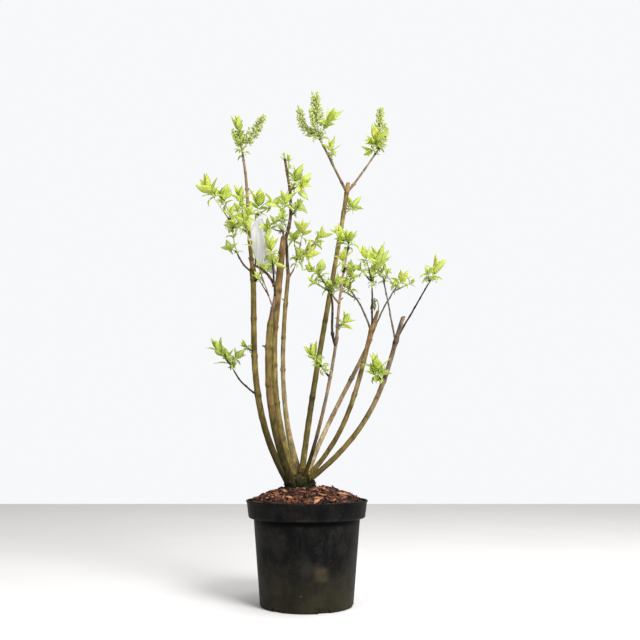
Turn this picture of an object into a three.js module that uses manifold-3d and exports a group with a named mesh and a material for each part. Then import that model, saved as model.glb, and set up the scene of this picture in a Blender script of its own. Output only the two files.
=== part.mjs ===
// A young lilac bush in its nursery pot: nine bare canes from one low crown, with sparse spring
// growth and a few green flower panicles at their ends. Millimetres, +Z up, front towards -Y.
// The origin is the centre of the pot's flat underside.

import * as THREE from 'three';
import { mergeVertices } from 'three/addons/utils/BufferGeometryUtils.js';
import Module from 'manifold-3d';

const wasm = await Module();
wasm.setup();
const { Manifold, Mesh: ManifoldMesh } = wasm;

// ---------------------------------------------------------------- driving sizes

const clear = 0.3; // gap between pieces that touch
const sliver = 0.01; // edges shorter than this are merged after a cut
const rootDetail = 0.3; // finer detail than this is smoothed away where leaves join a twig

const pot = {
  height: 233,
  baseRadius: 105.5,
  shoulderRadius: 122, // body just under the band
  bandRadius: 133.5, // lower edge of the band
  rimRadius: 140,
  bandHeight: 40,
  wall: 2.2,
  floor: 3,
  sides: 36,
  notches: { count: 6, first: -38, width: 25, height: 9, depth: 14 }, // degrees from the front
};

const soil = {
  edgeHeight: 226, // where the mulch meets the wall
  seatHeight: 258, // level of the flat cut under the crown
  seatRadius: 49,
  lump: 2.6, // height of the mulch's bumps
  sides: 24,
  rings: 5,
  seed: 7,
};

const crown = {
  centre: [-12, 0],
  radii: [34, 37, 40],
  sink: 4, // the ball's centre lies this far above the cut
  stubs: [
    { foot: [9, -12], lean: [0.18, -0.1], height: 19, radius: 6.5 },
    { foot: [-28, -19], lean: [-0.28, -0.2], height: 21, radius: 9 },
    { foot: [-30, 20], lean: [-0.3, 0.3], height: 22, radius: 6 },
  ],
};
const stubForm = { foot: 1.15, top: 0.9, sides: 7 }; // shares of a stub's radius

// A cane rises from its foot to its tip on one smooth curve. Leans are the horizontal run per
// millimetre of height. Girths are diameters at foot and tip. Nodes are the swollen rings.
const socketDepth = 8;
const flare = { heights: [12, 28], swell: 0.22, fade: 12 }; // how a cane spreads at its foot
const canes = [
  { name: 'cane_1', foot: [-45, -4, 275], lean: [-0.64, 0.3], tip: [-136, 45, 788],
    tipLean: [-0.07, 0], girth: [16, 13.5], nodes: { first: 475, step: 94 } },
  { name: 'cane_2', foot: [-38, -24, 282], lean: [-0.43, -0.35], tip: [-83, -75, 640],
    tipLean: [0.09, -0.05], girth: [17, 15], nodes: { first: 492, step: 84 } },
  { name: 'cane_3', foot: [-35, 14, 290], lean: [-0.36, 0.1], tip: [-58, 0, 853],
    tipLean: [0.11, -0.05], girth: [14, 11], nodes: { first: 455, step: 90 } },
  { name: 'cane_4', foot: [-20, 25, 290], lean: [-0.35, 0.5], tip: [-50, 95, 784],
    tipLean: [0.09, 0], girth: [12.5, 10], nodes: { first: 540, step: 82 } },
  { name: 'cane_5', foot: [-11, 6, 300], lean: [0.11, 0.3], tip: [103, 125, 1030],
    tipLean: [0.14, 0.1], girth: [14.5, 10.5], nodes: { first: 470, step: 96 } },
  { name: 'cane_6', foot: [-4, -17, 289], lean: [0.34, -0.7], tip: [68, -100, 598],
    tipLean: [0.14, -0.1], girth: [9, 7], nodes: { first: 508, step: 86 } },
  { name: 'cane_7', foot: [2, 24, 291], lean: [0.32, 0.35], tip: [156, 80, 616],
    tipLean: [0.46, 0.1], girth: [11.5, 9.5], nodes: { first: 430, step: 86 } },
  { name: 'cane_8', foot: [9, -2, 293], lean: [0.94, 0.1], tip: [167, -20, 670],
    tipLean: [0.37, -0.05], girth: [11.5, 11], nodes: { first: 472, step: 77 } },
  { name: 'cane_9', foot: [13, -22, 285], lean: [1.33, -0.1], tip: [230, 15, 661],
    tipLean: [0.35, 0.05], girth: [12.5, 10], nodes: { first: 503, step: 96 } },
];

// A bough grows on from a cane, or from a lower bough, at the height given by "at".
const boughs = [
  { name: 'bough_1_leader', on: 'cane_1', at: 786, lean: [-0.17, 0.1], tip: [-165, 70, 1075],
    tipLean: [-0.18, 0.1], girth: [10.5, 6] },
  { name: 'bough_2_side', on: 'cane_2', at: 638, lean: [0.14, -0.1], tip: [-73, -80, 695],
    tipLean: [0.17, -0.1], girth: [9, 6.5] },
  { name: 'bough_4_leader', on: 'cane_4', at: 782, lean: [-0.13, -0.1], tip: [-57, 84, 876],
    tipLean: [-0.15, -0.1], girth: [8.5, 7] },
  { name: 'bough_4_top', on: 'bough_4_leader', at: 875, lean: [0.37, -0.1], tip: [-59, 65, 1073],
    tipLean: [-0.16, -0.1], girth: [6.5, 4] },
  { name: 'bough_5_left', on: 'cane_5', at: 1006, lean: [-0.55, -0.25], tip: [30, 95, 1140],
    tipLean: [-0.54, -0.2], girth: [7, 5] },
  { name: 'bough_5_right', on: 'cane_5', at: 1004, lean: [0.75, 0.2], tip: [187, 150, 1136],
    tipLean: [0.62, 0.2], girth: [6.5, 4.5] },
  { name: 'bough_6_leader', on: 'cane_6', at: 597, lean: [0.04, 0.1], tip: [95, -70, 808],
    tipLean: [0.2, 0.15], girth: [6.5, 4.5] },
  { name: 'bough_6_side', on: 'cane_6', at: 578, lean: [-0.8, -0.4], tip: [51, -112, 701],
    tipLean: [-0.42, -0.1], girth: [5, 3.6] },
];

// A mass of foliage is one stem that ends at the first tip, with a side twig to each further
// tip. "out" below 0.5 rises before it spreads, above 0.5 spreads before it rises. "leaf" is
// the length of its longest leaves, "pairs" how many opposite pairs end each twig, and
// "along" how many smaller pairs the stem carries below them.
const masses = [
  { name: 'foliage_1_top', on: 'bough_1_leader', at: 1073, out: 0.5, leaf: 34, pairs: 4, along: 2,
    tips: [[-177, 78, 1150]], panicles: [{ from: 0.3, tip: [-118, 55, 1188], width: 20 }] },
  { name: 'foliage_1_left', on: 'cane_1', at: 778, out: 0.7, leaf: 30, pairs: 3, along: 1,
    tips: [[-205, 5, 950], [-234, -35, 964], [-190, -20, 903], [-188, 42, 893], [-198, 65, 839]] },
  { name: 'foliage_1_right', on: 'cane_1', at: 764, out: 0.8, leaf: 32, pairs: 3, along: 0,
    tips: [[-125, 95, 962], [-94, 115, 968]] },
  { name: 'foliage_1_green', on: 'cane_1', at: 748, out: 0.6, leaf: 24, pairs: 2, along: 0,
    tips: [[-113, 20, 776]] },
  { name: 'foliage_1_low', on: 'cane_1', at: 475, out: 0.68, leaf: 30, pairs: 3, along: 0,
    tips: [[-176, -20, 536], [-174, 8, 558], [-207, -45, 580]] },
  { name: 'foliage_2_left', on: 'bough_2_side', at: 688, out: 0.6, leaf: 26, pairs: 3, along: 1,
    tips: [[-146, -110, 862], [-147, -132, 898], [-136, -85, 890]] },
  { name: 'foliage_2_right', on: 'bough_2_side', at: 694, out: 0.4, leaf: 32, pairs: 3, along: 1,
    tips: [[-84, -75, 806], [-76, -48, 780]] },
  { name: 'foliage_3_top', on: 'cane_3', at: 851, out: 0.5, leaf: 30, pairs: 3, along: 0,
    tips: [[-61, -12, 902], [-77, -42, 880], [-92, -62, 862], [-56, 12, 944]] },
  { name: 'foliage_4_right', on: 'cane_4', at: 770, out: 0.62, leaf: 32, pairs: 3, along: 0,
    tips: [[-26, 92, 828], [-3, 125, 840], [-38, 148, 888], [-11, 105, 894], [32, 150, 898],
      [20, 182, 888]] },
  { name: 'foliage_4_top', on: 'bough_4_top', at: 1072, out: 0.5, leaf: 22, pairs: 3, along: 0,
    tips: [[-61, 62, 1084]] },
  { name: 'foliage_4_upper', on: 'bough_4_top', at: 990, out: 0.6, leaf: 30, pairs: 3, along: 0,
    tips: [[-29, 85, 1030], [-14, 42, 1004]] },
  { name: 'foliage_4_mid', on: 'bough_4_top', at: 932, out: 0.66, leaf: 34, pairs: 2, along: 0,
    tips: [[-24, 104, 976], [-24, 58, 944]] },
  { name: 'foliage_5_side', on: 'cane_5', at: 960, out: 0.66, leaf: 30, pairs: 3, along: 0,
    tips: [[114, 134, 974]] },
  { name: 'foliage_5_left_side', on: 'bough_5_left', at: 1078, out: 0.6, leaf: 26, pairs: 3,
    along: 0, tips: [[66, 96, 1108]] },
  { name: 'foliage_5_left_top', on: 'bough_5_left', at: 1139, out: 0.4, leaf: 34, pairs: 3,
    along: 0, tips: [[27, 92, 1158], [55, 72, 1176], [6, 124, 1160]],
    panicles: [{ from: 0.9, tip: [20, 88, 1262], width: 24 },
      { from: 0.7, tip: [-18, 106, 1236], width: 15 },
      { from: 0.8, tip: [-6, 72, 1212], width: 13 }] },
  { name: 'foliage_5_right_top', on: 'bough_5_right', at: 1135, out: 0.45, leaf: 36, pairs: 3,
    along: 0, tips: [[188, 149, 1156], [166, 124, 1156], [150, 170, 1148]],
    panicles: [{ from: 0.9, tip: [187, 150, 1254], width: 22 },
      { from: 0.6, tip: [207, 170, 1196], width: 12 }] },
  { name: 'foliage_6_twig', on: 'bough_6_leader', at: 676, out: 0.6, leaf: 36, pairs: 3, along: 0,
    tips: [[27, -124, 742], [16, -130, 716], [14, -152, 738]] },
  { name: 'foliage_6_side', on: 'bough_6_side', at: 700, out: 0.5, leaf: 26, pairs: 3, along: 0,
    tips: [[46, -116, 714], [62, -142, 716]] },
  { name: 'foliage_6_top', on: 'bough_6_leader', at: 807, out: 0.5, leaf: 34, pairs: 3, along: 0,
    tips: [[98, -82, 826], [80, -56, 844]] },
  { name: 'foliage_6_upper', on: 'bough_6_leader', at: 752, out: 0.66, leaf: 26, pairs: 3,
    along: 0, tips: [[82, -106, 776], [104, -56, 764]] },
  { name: 'foliage_6_mid', on: 'bough_6_leader', at: 622, out: 0.66, leaf: 26, pairs: 3, along: 0,
    tips: [[86, -80, 634]] },
  { name: 'foliage_6_low', on: 'cane_6', at: 508, out: 0.66, leaf: 28, pairs: 3, along: 0,
    tips: [[31, -106, 534], [16, -122, 554]] },
  { name: 'foliage_7_right', on: 'cane_7', at: 610, out: 0.4, leaf: 30, pairs: 3, along: 0,
    tips: [[236, 100, 768], [218, 122, 762], [258, 82, 758]] },
  { name: 'foliage_8_left', on: 'cane_8', at: 620, out: 0.35, leaf: 30, pairs: 3, along: 0,
    tips: [[92, -52, 724], [101, -38, 752], [76, -30, 740], [72, -62, 716]] },
  { name: 'foliage_8_top', on: 'cane_8', at: 628, out: 0.5, leaf: 34, pairs: 3, along: 0,
    tips: [[152, -50, 745], [138, -74, 790], [162, -44, 774], [122, -88, 756]] },
  { name: 'foliage_9_left', on: 'cane_9', at: 600, out: 0.5, leaf: 36, pairs: 4, along: 0,
    tips: [[175, 30, 796], [190, 2, 764], [164, 54, 780]] },
  { name: 'foliage_9_right', on: 'cane_9', at: 606, out: 0.5, leaf: 36, pairs: 4, along: 0,
    tips: [[312, 44, 788], [293, 10, 764]] },
  { name: 'foliage_9_low', on: 'cane_9', at: 500, out: 0.6, leaf: 32, pairs: 4, along: 0,
    tips: [[164, -22, 526]] },
];

// Radii of a stem's foot, a side twig's foot and every tip. "step" is the spacing of the rings.
const twig = { foot: 2.1, side: 1.4, tip: 1.1, sides: 3, step: 32 };

// A side twig leaves its stem between these shares, as high as lets it rise this steeply.
const forkForm = { lowest: 0.3, highest: 0.93, step: 0.03, steepness: 0.75, out: 0.55 };

// Shares of a leaf's length, but for its thickness and for how deep its root is sunk.
const leafForm = { widest: 0.42, width: 0.46, fold: 0.11, thick: 1, sink: 0.2, apart: 0.5 };

// "shortest" and "spread" vary the length of each leaf. Angles are in degrees from the twig.
const leafSize = { shortest: 0.86, spread: 0.28 };
const tuftForm = { gap: 6.5, lowest: 0.2, wide: 76, narrow: 20, budded: 55, jitter: 9, lift: 0.12 };
const tuftSize = { ends: 0.72, middle: 0.28 };
const stemPairs = { highest: 0.8, step: 0.22, opening: 55, size: 0.7 };

// A bud panicle starts after its bare foot. Between its wide levels it narrows to the notch.
const panicleForm = { foot: 0.3, levelGap: 13, sides: 4, notch: 0.5, tip: 3, twist: 0.5 };

// The blank plant label: a bent strip with a band that goes round the first bough.
const label = {
  on: 'bough_1_leader',
  at: 860,
  above: 68, // how far the strip reaches over and under its band
  below: 84,
  width: 38,
  waist: 0.62,
  thick: 1,
  lean: -0.116,
  bow: [0.0039, -0.003], // the ends curl away from a straight line by this times height squared
  turn: 50, // degrees that the lower end turns away
  waistReach: 14, // how far from the band the strip is pinched
  ends: { width: 0.3, widening: 3.6 }, // share of the width at both ends, and how fast it grows
  rows: 10,
  band: { height: 5, thick: 1.6, sides: 7, lap: 1 },
};

// ---------------------------------------------------------------- solids

function solid(geometry) {
  const bare = geometry.clone();
  bare.deleteAttribute('normal');
  bare.deleteAttribute('uv');
  const merged = mergeVertices(bare, 1e-4);
  return new Manifold(new ManifoldMesh({
    numProp: 3,
    vertProperties: new Float32Array(merged.attributes.position.array),
    triVerts: new Uint32Array(merged.index.array),
  }));
}

// The largest body of a cut or joined solid, without slivers. A loose scrap is dropped.
function mainBody(joined, detail = sliver) {
  const bodies = joined.simplify(detail).decompose();
  bodies.sort((a, b) => b.volume() - a.volume());
  return bodies[0];
}

function toGeometry(body) {
  const { vertProperties, triVerts } = body.getMesh();
  const geometry = new THREE.BufferGeometry();
  geometry.setAttribute('position', new THREE.BufferAttribute(new Float32Array(vertProperties), 3));
  geometry.setIndex(new THREE.BufferAttribute(new Uint32Array(triVerts), 1));
  geometry.computeVertexNormals();
  return geometry;
}

function moveVertices(geometry, place) {
  const position = geometry.attributes.position;
  const point = new THREE.Vector3();
  for (let i = 0; i < position.count; i += 1) {
    point.fromBufferAttribute(position, i);
    const moved = place(point);
    position.setXYZ(i, moved.x, moved.y, moved.z);
  }
  return geometry;
}

// ---------------------------------------------------------------- curves

const vector = (numbers) => new THREE.Vector3(...numbers);

// A limb's axis: height grows evenly, and the leans at both ends set the bend.
class LimbCurve extends THREE.Curve {
  constructor(foot, lean, tip, tipLean) {
    super();
    this.foot = foot;
    this.tip = tip;
    const rise = tip.z - foot.z;
    this.start = new THREE.Vector3(lean[0], lean[1], 1).multiplyScalar(rise);
    this.end = new THREE.Vector3(tipLean[0], tipLean[1], 1).multiplyScalar(rise);
  }

  getPoint(t, target = new THREE.Vector3()) {
    const t2 = t * t;
    const t3 = t2 * t;
    return target.set(0, 0, 0)
      .addScaledVector(this.foot, 2 * t3 - 3 * t2 + 1)
      .addScaledVector(this.start, t3 - 2 * t2 + t)
      .addScaledVector(this.tip, 3 * t2 - 2 * t3)
      .addScaledVector(this.end, t3 - t2);
  }

  shareAt(height) {
    return (height - this.foot.z) / (this.tip.z - this.foot.z);
  }
}

// Rings along a curve: a point, two cross directions and a radius at each share of its length.
function ringsAlong(curve, shares, radiusAt) {
  let across = null;
  return shares.map((share) => {
    const point = curve.getPoint(share);
    const along = curve.getTangent(share);
    if (!across) {
      across = new THREE.Vector3(Math.abs(along.x) < 0.8 ? 1 : 0, 0, Math.abs(along.x) < 0.8 ? 0 : 1);
    }
    across = across.clone().addScaledVector(along, -across.dot(along)).normalize();
    const side = across.clone().cross(along);
    return { point, along, across, side, radius: radiusAt(share) };
  });
}

// A closed tapering rod through the rings, bent from a straight cylinder.
function rod(rings, sides, grow = 0) {
  const last = rings.length - 1;
  const geometry = new THREE.CylinderGeometry(1, 1, 1, sides, last);
  moveVertices(geometry, (local) => {
    const index = Math.round((local.y + 0.5) * last);
    const ring = rings[index];
    const radius = ring.radius + grow;
    const past = index === 0 ? -grow : (index === last ? grow : 0);
    return ring.point.clone()
      .addScaledVector(ring.across, local.x * radius)
      .addScaledVector(ring.side, local.z * radius)
      .addScaledVector(ring.along, past);
  });
  return solid(geometry);
}

function evenShares(count) {
  return Array.from({ length: count + 1 }, (_, i) => i / count);
}

// ---------------------------------------------------------------- what space is taken

const taken = []; // capsules of finished pieces

function takeRod(owner, rings) {
  for (let i = 1; i < rings.length; i += 1) {
    const radius = Math.max(rings[i - 1].radius, rings[i].radius);
    taken.push({ owner, from: rings[i - 1].point, to: rings[i].point, radius });
  }
}

function gapBetween(a, b, c, d) {
  let best = Infinity;
  const line = new THREE.Line3(a, b);
  const other = new THREE.Line3(c, d);
  const probe = new THREE.Vector3();
  const near = new THREE.Vector3();
  for (const share of [0, 0.2, 0.4, 0.6, 0.8, 1]) {
    line.at(share, probe);
    other.closestPointToPoint(probe, true, near);
    best = Math.min(best, near.distanceTo(probe));
    other.at(share, probe);
    line.closestPointToPoint(probe, true, near);
    best = Math.min(best, near.distanceTo(probe));
  }
  return best;
}

function isFree(owner, from, to, radius, spare) {
  return taken.every((piece) => piece.owner === owner
    || gapBetween(from, to, piece.from, piece.to) > radius + piece.radius + spare);
}

// ---------------------------------------------------------------- limbs

const limbSides = { cane: 6, bough: 5 };
const nodeForm = { swell: 0.16, reach: 5, ringStep: 54 };
const limbs = new Map();

function limbShares(curve, heights) {
  const rise = curve.tip.z - curve.foot.z;
  const even = evenShares(Math.max(3, Math.round(rise / nodeForm.ringStep)));
  const shares = heights.length ? [0, ...flare.heights.map((z) => z / rise), ...even.slice(1)] : even;
  const rings = heights.flatMap((height) => [-1, 0, 1]
    .map((offset) => curve.shareAt(height + offset * nodeForm.reach)));
  const spare = nodeForm.reach / rise;
  const plain = shares.filter((share) => rings.every((ring) => Math.abs(ring - share) > spare));
  return [...plain, ...rings.filter((share) => share > 0 && share < 1)].sort((a, b) => a - b);
}

function buildLimb({ name, foot, lean, tip, tipLean, girth, nodes }, sides) {
  const curve = new LimbCurve(foot, lean, vector(tip), tipLean);
  const heights = [];
  if (nodes) {
    for (let z = nodes.first; z < tip[2] - nodes.step / 6; z += nodes.step) {
      heights.push(z);
    }
  }
  const centres = heights.map((height) => curve.shareAt(height));
  const radiusAt = (share) => {
    const rise = share * (tip[2] - foot.z);
    const spread = nodes ? 1 + flare.swell * Math.exp(-rise / flare.fade) : 1;
    const plain = spread * THREE.MathUtils.lerp(girth[0], girth[1], share) / 2;
    const swollen = centres.some((centre) => Math.abs(centre - share) < 1e-6);
    return swollen ? plain * (1 + nodeForm.swell) : plain;
  };
  const rings = ringsAlong(curve, limbShares(curve, heights), radiusAt);
  const limb = { name, curve, radiusAt, rings, sides };
  limb.body = rod(rings, sides);
  limb.sleeve = rod(rings, sides, clear);
  limbs.set(name, limb);
  return limb;
}

function buildCane(cane) {
  const foot = vector(cane.foot);
  const into = new THREE.Vector3(cane.lean[0], cane.lean[1], 1).setLength(socketDepth);
  return buildLimb({ ...cane, foot: foot.sub(into) }, limbSides.cane);
}

function buildBough(bough) {
  const carrier = limbs.get(bough.on);
  const foot = carrier.curve.getPoint(carrier.curve.shareAt(bough.at));
  const limb = buildLimb({ ...bough, foot }, limbSides.bough);
  limb.body = mainBody(limb.body.subtract(carrier.sleeve));
  return limb;
}

// ---------------------------------------------------------------- foliage

function seededDraws(seed) {
  let state = seed >>> 0;
  return () => {
    state = (state + 0x6d2b79f5) >>> 0;
    let mixed = Math.imul(state ^ (state >>> 15), state | 1);
    mixed ^= mixed + Math.imul(mixed ^ (mixed >>> 7), mixed | 61);
    return ((mixed ^ (mixed >>> 14)) >>> 0) / 4294967296;
  };
}

// A pointed blade of eight faces, folded up along its midrib.
function blade(root, along, upper, length, width, thick, fold) {
  const side = along.clone().cross(upper).normalize();
  const face = side.clone().cross(along).normalize();
  const geometry = moveVertices(new THREE.OctahedronGeometry(1), (local) => {
    const reach = local.y > 0.5 ? 1 : (local.y < -0.5 ? 0 : leafForm.widest);
    return root.clone()
      .addScaledVector(along, reach * length)
      .addScaledVector(side, local.x * width / 2)
      .addScaledVector(face, Math.abs(local.x) * fold + local.z * thick / 2);
  });
  return solid(geometry);
}

function growTwig(foot, tip, out, radii) {
  const run = tip.clone().sub(foot);
  const bend = foot.clone().add(new THREE.Vector3(run.x * out, run.y * out, run.z * (1 - out)));
  const curve = new THREE.QuadraticBezierCurve3(foot, bend, tip);
  const count = Math.max(2, Math.round(curve.getLength() / twig.step));
  const radiusAt = (share) => THREE.MathUtils.lerp(radii[0], radii[1], share);
  const rings = ringsAlong(curve, evenShares(count), radiusAt);
  return { curve, rings, length: curve.getLength() };
}

function openDirection(ring, turn, opening) {
  const outward = ring.across.clone().multiplyScalar(Math.cos(turn))
    .addScaledVector(ring.side, Math.sin(turn));
  const along = ring.along.clone().multiplyScalar(Math.cos(opening))
    .addScaledVector(outward, Math.sin(opening));
  along.z += tuftForm.lift;
  return along.normalize();
}

// One opposite pair of leaves at a share of a twig's length.
function leafPair(mass, grown, share, turn, opening, length, draw) {
  const ring = ringsAlong(grown.curve, [share], () => twig.tip)[0];
  for (const half of [0, Math.PI]) {
    const jitter = THREE.MathUtils.degToRad(tuftForm.jitter * (2 * draw() - 1));
    const size = length * (leafSize.shortest + leafSize.spread * draw());
    const along = openDirection(ring, turn + half + jitter, opening + jitter);
    const root = ring.point.clone().addScaledVector(along, -leafForm.sink);
    const end = root.clone().addScaledVector(along, size);
    const width = size * leafForm.width;
    const open = root.clone().lerp(end, leafForm.widest);
    const apart = mass.reach.every((other) => gapBetween(open, end, other.from, other.to)
      > leafForm.apart * (width / 2 + other.radius));
    if (apart && isFree(mass.name, open, end, width / 2, clear)) {
      const fold = size * leafForm.fold;
      mass.solids.push(blade(root, along, ring.along, size, width, leafForm.thick, fold));
      mass.reach.push({ owner: mass.name, from: open, to: end, radius: width / 2 });
    }
  }
}

// The closed rosette of pairs that ends a twig, each pair turned a quarter from the last.
function tuft(mass, grown, pairs, leafLength, draw, narrow = tuftForm.narrow) {
  const turn = draw() * Math.PI;
  for (let k = 0; k < pairs; k += 1) {
    const climb = pairs > 1 ? k / (pairs - 1) : 1;
    const below = (pairs - 1 - k) * tuftForm.gap / grown.length;
    const share = Math.max(tuftForm.lowest, 1 - below);
    const opening = THREE.MathUtils.degToRad(THREE.MathUtils.lerp(tuftForm.wide, narrow, climb));
    const fullness = Math.sin(Math.PI * (0.25 + 0.5 * climb));
    const size = leafLength * (tuftSize.ends + tuftSize.middle * fullness);
    leafPair(mass, grown, share, turn + k * Math.PI / 2, opening, size, draw);
  }
}

// A pyramid of green flower buds: a knobbly spindle, each level of buds a wide ring.
function panicle(mass, foot, tip, width) {
  const line = new THREE.LineCurve3(foot, tip);
  const levels = Math.max(3, Math.round(foot.distanceTo(tip) / panicleForm.levelGap));
  const budded = evenShares(2 * levels).map((share) => THREE.MathUtils.lerp(panicleForm.foot, 1, share));
  const shares = [0, ...budded];
  const rings = ringsAlong(line, shares, (share) => {
    const climb = (share - panicleForm.foot) / (1 - panicleForm.foot);
    return climb < 0 ? twig.side : THREE.MathUtils.lerp(width / 2, panicleForm.tip, climb);
  });
  rings.slice(1).forEach((ring, k) => {
    ring.radius *= k % 2 ? 1 : panicleForm.notch;
    ring.across.applyAxisAngle(ring.along, k * panicleForm.twist);
    ring.side.applyAxisAngle(ring.along, k * panicleForm.twist);
  });
  mass.solids.push(rod(rings, panicleForm.sides));
  mass.reach.push({ owner: mass.name, from: foot, to: tip, radius: width / 2 });
}

// Where a side twig leaves the stem: as high as it can and still rise steeply to its tip.
function forkShare(stem, tip) {
  let best = forkForm.lowest;
  for (let share = forkForm.lowest; share <= forkForm.highest; share += forkForm.step) {
    const point = stem.curve.getPoint(share);
    const run = Math.hypot(tip.x - point.x, tip.y - point.y);
    if (tip.z - point.z > forkForm.steepness * run) {
      best = share;
    }
  }
  return best;
}

function buildMass(spec, index) {
  const draw = seededDraws(1000 + 17 * index);
  const carrier = limbs.get(spec.on);
  const foot = carrier.curve.getPoint(carrier.curve.shareAt(spec.at));
  const mass = { name: spec.name, solids: [], reach: [] };
  const stem = growTwig(foot, vector(spec.tips[0]), spec.out, [twig.foot, twig.tip]);
  mass.solids.push(rod(stem.rings, twig.sides));
  takeRod(spec.name, stem.rings);
  tuft(mass, stem, spec.pairs, spec.leaf, draw, spec.panicles ? tuftForm.budded : tuftForm.narrow);
  for (let k = 0; k < spec.along; k += 1) {
    const share = stemPairs.highest - stemPairs.step * k;
    const opening = THREE.MathUtils.degToRad(stemPairs.opening);
    leafPair(mass, stem, share, draw() * Math.PI, opening, spec.leaf * stemPairs.size, draw);
  }
  for (const end of spec.tips.slice(1)) {
    const tip = vector(end);
    const start = stem.curve.getPoint(forkShare(stem, tip));
    if (isFree(spec.name, start, tip, twig.side, clear)) {
      const side = growTwig(start, tip, forkForm.out, [twig.side, twig.tip]);
      mass.solids.push(rod(side.rings, twig.sides));
      takeRod(spec.name, side.rings);
      tuft(mass, side, Math.max(2, spec.pairs - 1), spec.leaf, draw);
    }
  }
  for (const { from, tip, width } of spec.panicles ?? []) {
    panicle(mass, stem.curve.getPoint(from), vector(tip), width);
  }
  taken.push(...mass.reach);
  const joined = Manifold.union(mass.solids).simplify(rootDetail);
  mass.body = mainBody(joined.subtract(carrier.sleeve), clear / 2);
  return mass;
}

// ---------------------------------------------------------------- pot and soil

function turned(profile, sides) {
  const geometry = new THREE.LatheGeometry(profile.map(([r, z]) => new THREE.Vector2(r, z)), sides);
  return solid(geometry.rotateX(Math.PI / 2));
}

const bandFoot = pot.height - pot.bandHeight;
const chamfer = 3; // at the pot's foot
const lip = 3; // rolled edge of the rim and rounding of the band's foot

function bodyRadius(height) {
  return THREE.MathUtils.lerp(pot.baseRadius, pot.shoulderRadius, height / bandFoot);
}

function buildPot() {
  const inner = bandFoot + pot.wall;
  let body = turned([
    [0, 0],
    [pot.baseRadius - chamfer, 0],
    [bodyRadius(chamfer), chamfer],
    [bodyRadius(bandFoot - 2), bandFoot - 2],
    [pot.bandRadius - lip, bandFoot],
    [pot.bandRadius, bandFoot + lip],
    [pot.rimRadius, pot.height - lip],
    [pot.rimRadius, pot.height - 1],
    [pot.rimRadius - 1, pot.height],
    [pot.rimRadius - lip, pot.height],
    [pot.bandRadius - pot.wall, inner + lip],
    [pot.bandRadius - lip - pot.wall, inner],
    [bodyRadius(inner) - pot.wall - 1, inner - 2],
    [bodyRadius(pot.floor) - pot.wall, pot.floor],
    [0, pot.floor],
  ], pot.sides);
  const { count, first, width, height, depth } = pot.notches;
  for (let k = 0; k < count; k += 1) {
    const notch = new THREE.BoxGeometry(width, depth, height * 2);
    notch.translate(0, -pot.baseRadius, 0);
    notch.rotateZ(THREE.MathUtils.degToRad(first + k * 360 / count));
    body = body.subtract(solid(notch));
  }
  return mainBody(body);
}

function buildSoil() {
  const draw = seededDraws(soil.seed);
  const gap = pot.wall + clear;
  const inner = bandFoot + pot.wall;
  const top = soil.seatHeight - clear;
  const climb = (soil.edgeHeight - bandFoot) / pot.bandHeight;
  const edge = THREE.MathUtils.lerp(pot.bandRadius, pot.rimRadius, climb) - gap - 2;
  const profile = [
    [0, pot.floor + clear],
    [bodyRadius(pot.floor) - gap - 0.5, pot.floor + clear],
    [bodyRadius(inner) - gap - 1.2, inner - 1],
    [pot.bandRadius - gap - lip - 0.5, inner + 1.5],
    [edge, soil.edgeHeight],
  ];
  for (let k = 1; k <= soil.rings; k += 1) {
    const share = k / soil.rings;
    const rise = Math.sin(share * Math.PI / 2);
    profile.push([
      THREE.MathUtils.lerp(edge, soil.seatRadius, share),
      THREE.MathUtils.lerp(soil.edgeHeight, top, rise),
    ]);
  }
  profile.push([0, top]);
  const points = profile.map(([r, z]) => new THREE.Vector2(r, z));
  const geometry = new THREE.LatheGeometry(points, soil.sides).rotateX(Math.PI / 2);
  const lumps = new Map();
  moveVertices(geometry, (point) => {
    const reach = Math.hypot(point.x, point.y);
    const onMound = point.z > soil.edgeHeight + 1 && reach > soil.seatRadius + 1;
    if (onMound) {
      const spot = `${Math.round(point.x)},${Math.round(point.y)}`;
      if (!lumps.has(spot)) {
        lumps.set(spot, soil.lump * (2 * draw() - 1));
      }
      point.z = Math.min(point.z + lumps.get(spot), top);
    }
    return point;
  });
  return solid(geometry);
}

// ---------------------------------------------------------------- crown and label

function buildCrown(caneLimbs) {
  const [cx, cy] = crown.centre;
  const [rx, ry, rz] = crown.radii;
  const ball = new THREE.IcosahedronGeometry(1, 1);
  ball.scale(rx, ry, rz);
  ball.translate(cx, cy, soil.seatHeight + crown.sink);
  let body = solid(ball);
  for (const stub of crown.stubs) {
    const foot = new THREE.Vector3(stub.foot[0], stub.foot[1], soil.seatHeight + 1);
    const tip = foot.clone().add(new THREE.Vector3(...stub.lean, 1).multiplyScalar(stub.height));
    const line = new THREE.LineCurve3(foot, tip);
    const taper = (share) => stub.radius * THREE.MathUtils.lerp(stubForm.foot, stubForm.top, share);
    body = body.add(rod(ringsAlong(line, evenShares(2), taper), stubForm.sides));
  }
  const reach = 2 * pot.rimRadius;
  const below = new THREE.BoxGeometry(reach, reach, reach);
  below.translate(0, 0, soil.seatHeight - reach / 2);
  body = body.subtract(solid(below));
  for (const limb of caneLimbs) {
    body = body.subtract(limb.sleeve);
  }
  return mainBody(body, clear / 2);
}

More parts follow.
